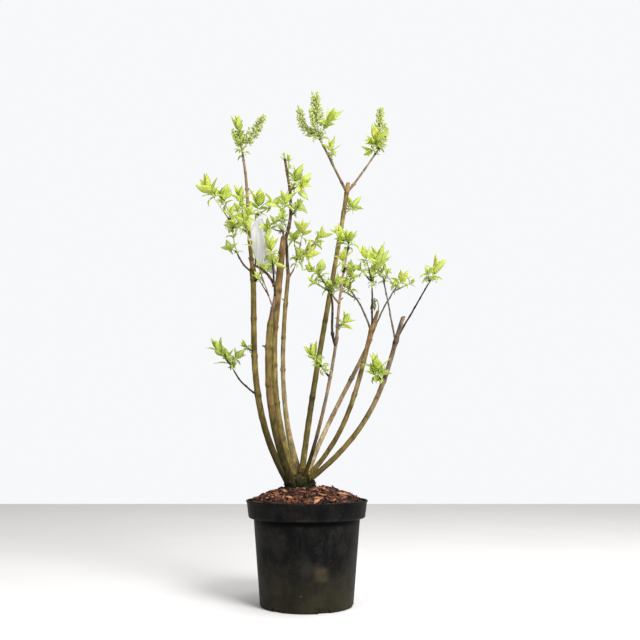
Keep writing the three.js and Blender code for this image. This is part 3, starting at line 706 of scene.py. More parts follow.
def chipBark(name, dark, light):
    material, tree, shader = newMaterial(name + "Bark", Roughness=0.85, Specular_IOR_Level=0.2)
    grain = objectNoise(tree, 90, detail=5)
    fine = objectNoise(tree, 900, (1, 0.4, 1), detail=3)
    base = ramp(tree, grain, (0.36, dark), (0.64, light))
    paint(tree, shader, multiply(tree, base, ramp(tree, fine, (0.3, 0.55), (0.7, 1.0))))
    addBump(tree, shader, fine, 0.6, 0.5)
    return material


def makeSoil():
    sides, rings, gap = soil["sides"], soil["rings"], soil["wallGap"]
    points = moundPoints(soil["hole"], soilReach, rings, sides)
    points += ringPoints(bodyRadius(bandFoot) - gap, bandFoot - 2, sides)
    points += ringPoints(bodyRadius(gap) - gap, pot["floor"] + 0.3, sides)
    faces = ringFaces(rings + 2, sides) + endFaces(len(points), sides)
    mix = newPiece("pottingMix", meshOf("pottingMix", points, faces))
    damp = cloudyFinish("dampPottingMix", soil["dark"], soil["brown"], 240, (0.35, 0.7), (0.7, 1.2),
                        detail=5, Roughness=0.95)
    dress(mix, damp, "bark_mulch", "potting_soil")
    flakes = shapeCollection("barkFlakes", [chipMesh(k) for k in range(soil["flake"]["count"])])
    bed = soil["bed"]
    for name, density, seed, tilt, sizes, lift, edge, dark, light in chips:
        ground = moundPoints(bed["hole"], soilReach - edge, bed["rings"], bed["sides"])
        host = newPiece(name + "Bed", meshOf(name, ground, ringFaces(bed["rings"], bed["sides"])))
        piece = runTree(name, host, scatterTree, {
            "Shapes": flakes, "Finish": chipBark(name, dark, light), "Density": float(density), "Seed": seed,
            "Tilt": tilt, "Smallest": sizes[0], "Largest": sizes[1],
            "Lowest": lift[0] * mm, "Highest": lift[1] * mm,
        })
        dress(piece, None, "bark_mulch", "potting_soil")


makeSoil()
print("potting mix and mulch are made")


class LimbCurve:
    # height grows evenly, and the leans at both ends set the bend

    def __init__(self, foot, lean, tip, tipLean):
        self.foot, self.tip = Vector(foot), Vector(tip)
        self.rise = self.tip.z - self.foot.z
        self.start = Vector((*lean, 1)) * self.rise
        self.end = Vector((*tipLean, 1)) * self.rise
        self.length = self.rise * 1.05

    def pointAt(self, t):
        return (self.foot * (2 * t ** 3 - 3 * t ** 2 + 1) + self.start * (t ** 3 - 2 * t ** 2 + t)
                + self.tip * (3 * t ** 2 - 2 * t ** 3) + self.end * (t ** 3 - t ** 2))

    def tangentAt(self, t):
        return ((self.tip - self.foot) * (6 * t - 6 * t ** 2) + self.start * (3 * t ** 2 - 4 * t + 1)
                + self.end * (3 * t ** 2 - 2 * t)).normalized()

    def shareAt(self, height):
        return (height - self.foot.z) / self.rise


class TwigCurve:
    # a bend set by how early the twig spreads

    def __init__(self, foot, tip, out):
        run = tip - foot
        self.foot, self.tip = foot, tip
        self.bend = foot + Vector((run.x * out, run.y * out, run.z * (1 - out)))
        steps = [self.pointAt(share) for share in evenShares(20)]
        self.length = sum((b - a).length for a, b in zip(steps, steps[1:]))

    def pointAt(self, t):
        return self.foot * (1 - t) ** 2 + self.bend * (2 * t * (1 - t)) + self.tip * t ** 2

    def tangentAt(self, t):
        return ((self.bend - self.foot) * (1 - t) + (self.tip - self.bend) * t).normalized()


class Ring:
    # a place on a curve, its run there and two directions square to it

    def __init__(self, curve, share, across=None, radius=0):
        self.share, self.radius = share, radius
        self.point, self.along = curve.pointAt(share), curve.tangentAt(share)
        if across is None:
            across = Vector((1, 0, 0)) if abs(self.along.x) < 0.8 else Vector((0, 0, 1))
        self.across = (across - self.along * across.dot(self.along)).normalized()
        self.side = self.across.cross(self.along)

    def outward(self, turn):
        return self.across * cos(turn) + self.side * sin(turn)


def ringsAlong(curve, count, radiusAt):
    rings, across = [], None
    for share in evenShares(count):
        rings.append(Ring(curve, share, across, radiusAt(share)))
        across = rings[-1].across
    return rings


barkColours = {
    "umber": (0.034, 0.029, 0.009), "moss": (0.070, 0.055, 0.014), "drab": (0.092, 0.070, 0.020),
    "olive": (0.160, 0.123, 0.033), "khaki": (0.205, 0.163, 0.047), "straw": (0.30, 0.238, 0.110),
    "cream": (0.36, 0.29, 0.165), "bronze": (0.170, 0.105, 0.042), "tan": (0.215, 0.140, 0.058),
    "fawn": (0.19, 0.135, 0.072), "russet": (0.21, 0.122, 0.055), "ash": (0.205, 0.160, 0.106),
    "mauve": (0.145, 0.102, 0.072), "rose": (0.30, 0.185, 0.135), "brown": (0.150, 0.098, 0.056),
    "dark": (0.045, 0.033, 0.026), "grey": (0.175, 0.145, 0.110), "cutWood": (0.34, 0.25, 0.16),
}
caneKeys = ("name", "foot", "lean", "tip", "tipLean", "girth", "nodes", "bark")
canes = (
    ("cane_1", (-45, -4, 275), (-0.64, 0.3), (-136, 45, 788), (-0.07, 0), (16, 13.5), (475, 94),
     "umber moss olive olive olive", {"forks": (776,)}),
    ("cane_2", (-38, -24, 282), (-0.43, -0.35), (-83, -75, 640), (0.09, -0.05), (17, 15), (492, 84),
     "umber umber moss bronze olive khaki olive", {"taper": 0.62, "forks": (632,)}),
    ("cane_3", (-35, 14, 290), (-0.36, 0.1), (-58, 0, 853), (0.11, -0.05), (14, 11), (455, 90),
     "olive khaki khaki bronze bronze",
     {"stout": ((0, 3.0), (0.35, 0.2), (0.58, 0.2), (0.72, 3.0), (0.88, 3.0), (1, 1.4))}),
    ("cane_4", (-20, 25, 290), (-0.35, 0.5), (-50, 95, 784), (0.09, 0), (12.5, 10), (540, 82),
     "straw straw straw olive tan", {"stout": ((0, 2.8), (0.35, 0), (1, 0))}),
    ("cane_5", (-11, 6, 300), (0.11, 0.3), (103, 125, 1030), (0.14, 0.1), (14.5, 10.5), (470, 96),
     "olive drab drab olive olive khaki tan", {"cut": True, "forks": (1008,)}),
    ("cane_6", (-4, -17, 289), (0.34, -0.7), (68, -100, 598), (0.14, -0.1), (9, 7), (508, 86),
     "moss umber brown ash ash mauve", {"forks": (590,)}),
    ("cane_7", (2, 24, 291), (0.32, 0.35), (156, 80, 616), (0.46, 0.1), (11.5, 9.5), (430, 86),
     "cream cream cream fawn tan"),
    ("cane_8", (9, -2, 293), (0.94, 0.1), (167, -20, 670), (0.37, -0.05), (11.5, 11), (472, 77),
     "khaki drab olive straw tan russet", {"cut": True, "taper": 0.6, "forks": (626,)}),
    ("cane_9", (13, -22, 285), (1.33, -0.1), (230, 15, 661), (0.35, 0.05), (12.5, 10), (503, 96),
     "moss olive fawn mauve mauve", {"cut": True, "forks": (602,)}),
)
boughKeys = ("name", "on", "at", "lean", "tip", "tipLean", "girth", "bark")
boughs = (
    ("bough_1_leader", "cane_1", 786, (-0.17, 0.1), (-165, 70, 1075), (-0.18, 0.1), (10.5, 6),
     "olive olive khaki rose"),
    ("bough_2_side", "cane_2", 638, (0.14, -0.1), (-73, -80, 695), (0.17, -0.1), (9, 6.5),
     "brown mauve brown", {"spread": 12}),
    ("bough_4_leader", "cane_4", 782, (-0.13, -0.1), (-57, 84, 876), (-0.15, -0.1), (8.5, 7),
     "brown dark dark"),
    ("bough_4_top", "bough_4_leader", 875, (0.37, -0.1), (-59, 65, 1073), (-0.16, -0.1), (8.8, 6),
     "dark brown bronze"),
    ("bough_5_left", "cane_5", 1006, (-0.55, -0.25), (30, 95, 1140), (-0.54, -0.2), (7, 5),
     "brown ash ash"),
    ("bough_5_right", "cane_5", 1004, (0.75, 0.2), (187, 150, 1136), (0.62, 0.2), (6.5, 4.5),
     "brown ash ash"),
    ("bough_6_leader", "cane_6", 597, (0.04, 0.1), (95, -70, 808), (0.2, 0.15), (6.5, 4.5),
     "ash rose ash"),
    ("bough_6_side", "cane_6", 578, (-0.45, -0.4), (51, -112, 701), (-0.42, -0.1), (6.2, 4.8),
     "dark dark dark"),
)
limbForm = {
    "socket": 8, "flare": 0.22, "flareFade": 12, "collar": 0.3, "collarFade": 5, "sides": 22, "step": 2.8,
    "seed": 60, "firstNode": 24, "nodeGap": 46, "cutSlope": 0.55, "taperFrom": 0.925,
    # strength of the grain, its pace round the limb and along it
    "grain": (0.34, 3.2, 0.045), "lumps": ((0.5, 0.06),), "roughFrom": 6,
    # strength, height below the node and reach of its relief and shades
    "swell": (0.12, 0, 6), "scar": (1.5, -1, 2.2), "groove": (0.15, 3.2, 0.9), "ringShade": (0.35, 2.6, 1.6),
    "scarShade": (0.9, 2.5, 4.5), "forkSwell": (0.26, 0, 11), "forkShade": (0.7, 6, 3), "nodeReach": 14,
    # squeeze, lift and colour of the rings that close a cut end
    "cutRings": ((1.0, 0.0, None), (0.93, 0.5, "dark"), (0.8, 0.6, "cutWood"), (0.3, 0.5, "cutWood")),
    # squeeze and lift, as a share of the radius, of those that close a tip
    "tipRings": ((1.0, 0), (0.8, 0.45), (0.4, 0.7)),
    "patch": (0.36, 0.2, 0.1), "patchShare": 0.6, "patchEdge": 1.6, "patchPace": (0.16, 0.03),
    "mottle": ((0.42, 0.05), (0.252, 0.17)), "shift": ((0.05, 0.02),), "nodeShade": 0.65,
}
limbs, stems = {}, {}


def readRows(keys, rows):
    # a row may end with a dictionary of extras
    return [{**dict(zip(keys, row)), **(row[len(keys)] if len(row) > len(keys) else {})} for row in rows]


def barkTone(name):
    return Vector(barkColours[name])


def extraGirth(stout, share):
    for (start, first), (end, second) in zip(stout, stout[1:]):
        if share <= end:
            part = max(0, (share - start) / (end - start))
            return lerp(first, second, part * part * (3 - 2 * part))
    return stout[-1][1]


def limbRadius(limb, share):
    rise = share * limb["curve"].rise
    plain = lerp(*limb["girth"], share) / 2
    ending = max(0, (share - limbForm["taperFrom"]) / (1 - limbForm["taperFrom"]))
    plain *= lerp(1, limb.get("taper", 1), ending)
    if "stout" in limb:
        plain += extraGirth(limb["stout"], share)
    if "foot" in limb:
        return plain * (1 + limbForm["flare"] * exp(-rise / limbForm["flareFade"]))
    return plain * (1 + limbForm["collar"] * exp(-rise / limb.get("spread", limbForm["collarFade"])))


def nodeHeights(limb):
    usual = (limb["curve"].foot.z + limbForm["firstNode"], limbForm["nodeGap"])
    height, gap = limb.get("nodes", usual)
    heights = []
    while height < limb["curve"].tip.z - gap / 6:
        heights.append(height)
        height += gap
    return heights


def nodeRelief(limb, height, angle, radius):
    # a swollen ring with two opposite leaf scars, a quarter turned from node to node
    swell, dark = 0.0, 0.0

    def mark(name):
        strength, below, reach = limbForm[name]
        return strength * bell(height - place + below, reach)

    for k, place in enumerate(limb["heights"]):
        if abs(height - place) < limbForm["nodeReach"]:
            facing = abs(cos(angle - limb["turn"] - k * pi / 2))
            swell += radius * mark("swell") + facing ** 10 * mark("scar") - mark("groove")
            dark = max(dark, mark("ringShade"), facing ** 4 * mark("scarShade"))
    for place in limb.get("forks", ()):
        swell += radius * mark("forkSwell")
        dark = max(dark, mark("forkShade"))
    return swell, dark


def limbTint(limb, share, point, dark):
    # the colours of the row in turn, with warmer patches and a mottle
    names, drift = limb["bark"].split(), limb["drift"]
    drifted = clamp(share + roughness(point, limbForm["shift"], drift)) * (len(names) - 1)
    first = min(len(names) - 2, int(drifted))
    colour = barkTone(names[first]).lerp(barkTone(names[first + 1]), drifted - first)
    patch = streak(point, *limbForm["patchPace"], drift)
    warm = 2 * (colour.x + colour.y) * Vector(limbForm["patch"])
    colour = colour.lerp(warm, limbForm["patchShare"] * clamp(limbForm["patchEdge"] * patch))
    mottle = roughness(point, limbForm["mottle"], drift)
    return colour * (1 - limbForm["nodeShade"] * dark) * (1 + mottle)


def limbMesh(limb):
    curve, sides, drift = limb["curve"], limbForm["sides"], limb["drift"]
    count = max(8, round(curve.length / limbForm["step"]))
    limb["rings"] = ringsAlong(curve, count, lambda share: limbRadius(limb, share))
    grain, around, lengthwise = limbForm["grain"]
    points, tints = [], []

    def addRing(ring, squeeze=1.0, lift=0.0, slope=0.0, colour=None):
        for k in range(sides):
            angle = 2 * pi * k / sides
            outward = ring.outward(angle)
            place = ring.point + outward * ring.radius
            swell, dark = nodeRelief(limb, place.z, angle, ring.radius)
            thick = min(1, ring.radius / limbForm["roughFrom"])
            grainPlace = roundPoint(around, angle, ring.point.z * lengthwise)
            swell += thick * grain * noise.noise(grainPlace + drift)
            swell += thick * roughness(place, limbForm["lumps"], drift)
            reach = (ring.radius + swell) * squeeze
            tilt = slope * cos(angle - limb["turn"]) * ring.radius * squeeze
            points.append(ring.point + outward * reach + ring.along * (tilt + lift))
            tint = barkTone(colour) if colour else limbTint(limb, ring.share, place, dark)
            tints.append((*tint, 1))

    *lower, last = limb["rings"]
    for ring in lower:
        addRing(ring)
    if limb.get("cut"):
        for squeeze, lift, colour in limbForm["cutRings"]:
            addRing(last, squeeze, lift, limbForm["cutSlope"], colour)
    else:
        for squeeze, lift in limbForm["tipRings"]:
            addRing(last, squeeze, last.radius * lift)
    faces = ringFaces(len(points) // sides - 1, sides) + endFaces(len(points), sides)
    mesh = meshOf(limb["name"], points, faces)
    storeValues(mesh, "barkTint", "FLOAT_COLOR", tints)
    return mesh


def caneBark():
    material, tree, shader = newMaterial("lilacBark", Specular_IOR_Level=0.06)
    streaks = objectNoise(tree, 260, (1, 1, 0.14), 5, 0.6)
    blotches = objectNoise(tree, 60, (1, 1, 0.4), 4)
    streaked = shadedTint(tree, streaks, (0.32, 0.52), (0.5, 0.95), (0.72, 1.3))
    paint(tree, shader, multiply(tree, streaked, ramp(tree, blotches, (0.36, 0.7), (0.5, 1.0), (0.72, 1.4))))
    paint(tree, shader, ramp(tree, blotches, (0.3, 0.52), (0.7, 0.8)), "Roughness")
    addBump(tree, shader, streaks, 0.45, 0.45)
    return material


barkMaterial = caneBark()


def placeOn(carrier, at):
    # a share of a twig, or a height on a limb
    if carrier in stems:
        return stems[carrier].pointAt(at)
    curve = limbs[carrier]["curve"]
    return curve.pointAt(curve.shareAt(at))


def makeLimbs():
    draw = seededDraws(limbForm["seed"])
    for limb in readRows(caneKeys, canes) + readRows(boughKeys, boughs):
        if "foot" in limb:
            slot = "cane_bark"
            foot = Vector(limb["foot"]) - Vector((*limb["lean"], 1)).normalized() * limbForm["socket"]
        else:
            slot = "twig_bark"
            foot = placeOn(limb["on"], limb["at"])
        limb["curve"] = LimbCurve(foot, limb["lean"], limb["tip"], limb["tipLean"])
        limb["turn"] = pi * draw()
        limb["drift"] = Vector((40 * draw(), 40 * draw(), 40 * draw()))
        limb["heights"] = nodeHeights(limb)
        limbs[limb["name"]] = limb
        piece = newPiece(limb["name"].replace("_", "") + "Bark", limbMesh(limb))
        dress(piece, barkMaterial, slot, limb["name"])


makeLimbs()
print("canes and boughs are made")


crown = {
    "centre": (-12, 0), "radii": (32, 35, 33), "sink": 2, "ground": 258, "voxel": 1.3, "knob": 0.62,
    "heel": 0.95, "heelTop": 0.56, "heelSink": 6, "heelSpread": 0.12,
    # foot, lean, height and radius of the old stubs
    "stubs": (
        ((9, -12), (0.18, -0.1), 19, 6.5), ((-28, -19), (-0.28, -0.2), 21, 9),
        ((-30, 20), (-0.3, 0.3), 22, 6),
    ),
    "stubSink": 8, "stubTaper": (1.15, 0.9), "stubFace": (1.6, 0.82), "stubCalm": 0.8, "woodShare": 0.75,
    "knobAt": 0.004, "heelAt": 0.012, "rough": ((1.6, 0.13), (0.6, 0.5)), "ridge": 2.6,
    "ridgePace": (0.3, 0.07), "ridgeShade": 0.9, "mossTop": 292, "mossFade": 22,
    "mossPatches": ((0.9, 0.09), (0.5, 0.3)), "moss": 150, "mossSeed": 90,
    "mossHeights": (2, 28), "mossSize": (0.6, 1.3),
    "bark": (0.060, 0.042, 0.018), "green": (0.014, 0.015, 0.006), "wood": (0.20, 0.14, 0.08),
    "mossDark": (0.008, 0.010, 0.004), "mossPale": (0.030, 0.040, 0.012),
}


def addCone(body, foot, tip, radius, tipRadius):
    turn = (tip - foot).to_track_quat("Z", "Y").to_matrix().to_4x4()
    bmesh.ops.create_cone(
        body, cap_ends=True, segments=24, radius1=radius, radius2=tipRadius, depth=(tip - foot).length,
        matrix=Matrix.Translation((foot + tip) / 2) @ turn)


def crownBody():
    # a low dome, a rooting cone under each cane and the old stubs
    body = bmesh.new()
    middle = Vector((*crown["centre"], crown["ground"] + crown["sink"]))
    shape = Matrix.Translation(middle) @ Matrix.Diagonal((*crown["radii"], 1))
    bmesh.ops.create_icosphere(body, subdivisions=4, radius=1, matrix=shape)
    for limb in limbs.values():
        if "foot" not in limb:
            continue
        curve, girth = limb["curve"], limb["girth"][0]
        knob = Matrix.Translation(curve.pointAt(crown["knobAt"]))
        bmesh.ops.create_icosphere(body, subdivisions=3, radius=girth * crown["knob"], matrix=knob)
        head, way = curve.pointAt(crown["heelAt"]), curve.tangentAt(0)
        heel = head - way * (head.z - crown["ground"] + crown["heelSink"]) / way.z
        heel = heel.lerp(Vector((*crown["centre"], heel.z)), -crown["heelSpread"])
        addCone(body, heel, head, girth * crown["heel"], girth * crown["heelTop"])
    wide, slim = crown["stubTaper"]
    tops = []
    for foot, lean, height, radius in crown["stubs"]:
        foot, lean = Vector((*foot, crown["ground"] + 1)), Vector((*lean, 1))
        tip = foot + lean * height
        addCone(body, foot - lean * crown["stubSink"], tip, radius * wide, radius * slim)
        tops.append((tip, lean.normalized(), radius))
    for vertex in body.verts:
        vertex.co *= mm
    mesh = bpy.data.meshes.new("rootCrown")
    body.to_mesh(mesh)
    body.free()
    return mesh, tops


def onStubTop(place, tops):
    near, inside = crown["stubFace"]
    return any(abs((place - tip).dot(lean)) < near and (place - tip).length < radius * inside
               for tip, lean, radius in tops)


def roughenCrown(mesh, tops, ground):
    tints = []
    for vertex in mesh.vertices:
        place = vertex.co / mm
        top = float(onStubTop(place, tops))
        ridge = streak(place, *crown["ridgePace"])
        lump = roughness(place, crown["rough"]) + crown["ridge"] * ridge
        vertex.co += vertex.normal * lump * (1 - crown["stubCalm"] * top) * mm
        vertex.co.z = max(vertex.co.z, ground)
        low = (crown["mossTop"] - place.z) / crown["mossFade"]
        mossy = clamp(low + roughness(place, crown["mossPatches"]))
        tint = Vector(crown["bark"]).lerp(Vector(crown["green"]), mossy) * (1 + crown["ridgeShade"] * ridge)
        tints.append((*tint.lerp(Vector(crown["wood"]), crown["woodShare"] * top), 1))
    storeValues(mesh, "barkTint", "FLOAT_COLOR", tints)
    mesh.shade_smooth()


def growMoss(mesh, ground):
    moss, draw = Spots(), seededDraws(crown["mossSeed"])
    lowest, highest = (height * mm for height in crown["mossHeights"])
    while len(moss.points) < crown["moss"]:
        face = mesh.polygons[int(draw() * len(mesh.polygons))]
        if face.center.z > ground + lowest and draw() > (face.center.z - ground) / highest:
            lean = (face.normal + Vector((draw() - 0.5, draw() - 0.5, 0.6 * draw()))).normalized()
            size = lerp(*crown["mossSize"], draw())
            moss.add(face.center / mm, lean, Vector((draw() - 0.5, draw() - 0.5, 1)), (size, size, size))
    points = [(0, 0, 0), (-0.9, 2.2, 0.3), (0.9, 2.2, 0.3), (0, 2.3, -0.4), (0, 2.2, 0.6), (0, 5, 0.8)]
    faces = [(0, 1, 3), (0, 3, 2), (0, 2, 4), (0, 4, 1), (5, 3, 1), (5, 2, 3), (5, 4, 2), (5, 1, 4)]
    shapes = shapeCollection("mossTip", [meshOf("mossTip", points, faces)])
    green = cloudyFinish("darkMoss", crown["mossDark"], crown["mossPale"], 120, (0.35, 0.7), None,
                         Roughness=0.85, Specular_IOR_Level=0.08)
    dress(moss.grow("crownMoss", shapes, green), None, "old_bark", "root_crown")


def crownBark():
    material, tree, shader = newMaterial("mossyOldBark", Roughness=0.92, Specular_IOR_Level=0.08)
    grain = objectNoise(tree, 330, detail=6)
    paint(tree, shader, shadedTint(tree, grain, (0.32, 0.45), (0.68, 1.5)))
    addBump(tree, shader, grain, 0.8, 0.9)
    return material


def makeCrown():
    mesh, tops = crownBody()
    piece = newPiece("rootCrown", mesh)
    joined = piece.modifiers.new("joined", "REMESH")
    joined.mode = "VOXEL"
    joined.voxel_size = crown["voxel"] * mm
    piece.data = bakeModifiers(piece)
    ground = (crown["ground"] - 1.5) * mm
    roughenCrown(piece.data, tops, ground)
    dress(piece, crownBark(), "old_bark", "root_crown")
    growMoss(piece.data, ground)


makeCrown()
print("root crown is made")


leafForm = {
    "length": 30, "rows": 7, "columns": 4, "thick": 0.45, "stalk": 0.9, "least": 0.12, "lift": 0.12,
    # width, shoulder, taper, fold, curl, wave and twist of each kind
    "kinds": (
        (0.34, 0.78, 1.15, 0.42, -6, 0.0, 0),
        (0.42, 0.7, 1.2, 0.32, 4, 0.012, 0),
        (0.46, 0.66, 1.2, 0.22, 26, 0.015, 0),
        (0.46, 0.66, 1.2, 0.16, 50, 0.02, 0),
        (0.26, 0.8, 1.0, 0.7, 70, 0.01, 0),
        (0.42, 0.5, 0.9, 0.3, 20, 0.0, 0),
        (0.48, 0.62, 1.1, 0.28, 40, 0.02, 25),
        (0.22, 0.8, 0.95, 0.8, 95, 0.0, -20),
    ),
    "curlFrom": 0.1, "curlGrowth": 1.2, "foldCurve": 1.4, "waves": (11, 2),
    "shine": 0.5, "through": 0.55, "scale": 1.22, "darker": 0.84, "paler": 1.12,
}
# the tones run from the lemon of the youngest leaves to a deep green; the deeper tones, dealt to the lower
# pairs of each tuft and to some whole clusters, are partly the older leaves' own green and partly painted
# shade
leafTones = (
    ("leavesLemon", (0.74, 0.78, 0.19)), ("leavesLime", (0.69, 0.77, 0.19)),
    ("leavesGreen", (0.60, 0.69, 0.20)), ("leavesDeep", (0.43, 0.51, 0.17)),
)
budForm = {
    "sides": 6, "profile": (0.5, 0.88, 1.0, 0.86, 0.45), "round": (1.0, 2.6), "long": (0.85, 3.38),
    "dormant": {"seed": 77, "above": 2, "sizes": (0.9, 1.6), "share": 0.6, "lean": 0.55, "seat": 1.05,
                "broad": 1.3},
}


def leafMesh(name, kind):
    width, shoulder, taper, fold, curl, wave, twist = kind
    rows, columns, length, thick = (leafForm[key] for key in ("rows", "columns", "length", "thick"))
    widest = shoulder / (shoulder + taper)
    peak = widest ** shoulder * (1 - widest) ** taper
    upper, lower, points, places = [], [], [], []
    lengthwise, sideways = leafForm["waves"]
    y, z = 0.0, 0.0
    for i in range(rows + 1):
        share = i / rows
        bend = radians(curl) * max(0, share - leafForm["curlFrom"]) ** leafForm["curlGrowth"]
        spin = radians(twist) * share
        if i:
            y += length / rows * cos(bend)
            z -= length / rows * sin(bend)
        half = width * length / 2 * share ** shoulder * (1 - share) ** taper / peak
        half = max(half, leafForm["stalk"] * (1 - share), leafForm["least"])
        upper.append([])
        lower.append([])
        for j in range(columns + 1):
            across = 2 * j / columns - 1
            rise = fold * half * abs(across) ** leafForm["foldCurve"]
            rise += wave * length * sin(lengthwise * share + sideways * across) * across ** 2
            x = across * half * cos(spin) - rise * sin(spin)
            up = across * half * sin(spin) + rise * cos(spin)
            upper[i].append(len(points))
            points.append((x, y + up * sin(bend), z + up * cos(bend)))
            if 0 < i < rows and 0 < j < columns:
                points.append((x, y - thick * sin(bend), z + up - thick))
            lower[i].append(len(points) - 1)
            places += [(0.5 + across / 2, share)] * (len(points) - len(places))
    faces = []
    for i in range(rows):
        for j in range(columns):
            faces.append((upper[i][j], upper[i][j + 1], upper[i + 1][j + 1], upper[i + 1][j]))
            faces.append((lower[i][j], lower[i + 1][j], lower[i + 1][j + 1], lower[i][j + 1]))
    mesh = meshOf(name, points, faces)
    layer = mesh.uv_layers.new(name="leafPlace")
    for loop in mesh.loops:
        layer.data[loop.index].uv = places[loop.vertex_index]
    return mesh


def budMesh(name, radius, length):
    profile = budForm["profile"]
    rows = [(radius * wide, length * (k + 1) / (len(profile) + 1)) for k, wide in enumerate(profile)]
    mesh = turnedMesh(name, [(0, 0), *rows, (0, length)], budForm["sides"])
    mesh.transform(Matrix.Rotation(-pi / 2, 4, "X"))
    return mesh


def leafTissue(name, colour):
    material, tree, shader = newMaterial(name + "Tissue", Roughness=leafForm["shine"])
    parts = splitParts(tree, addNode(tree, "ShaderNodeUVMap", uv_map="leafPlace").outputs["UV"])
    aside = maths(tree, "ABSOLUTE", maths(tree, "SUBTRACT", parts["X"], 0.5))
    slant = maths(tree, "MULTIPLY_ADD", aside, -0.55, parts["Y"])
    ribs = maths(tree, "SINE", maths(tree, "MULTIPLY", slant, 42.0))
    dark = tuple(part * leafForm["darker"] for part in colour)
    pale = tuple(min(1, part * leafForm["paler"] + 0.01) for part in colour)
    base = ramp(tree, objectNoise(tree, 70), (0.3, dark), (0.5, colour), (0.7, pale))
    veined = mixColours(tree, ramp(tree, ribs, (0.75, 0), (1.0, 0.12)), base, pale)
    midrib = ramp(tree, aside, (0.0, 0.6), (0.07, 0))
    final = paint(tree, shader, mixColours(tree, midrib, veined, pale))
    addBump(tree, shader, ribs, 0.05, 0.2)
    letThrough(tree, shader, final, leafForm["through"])
    return material


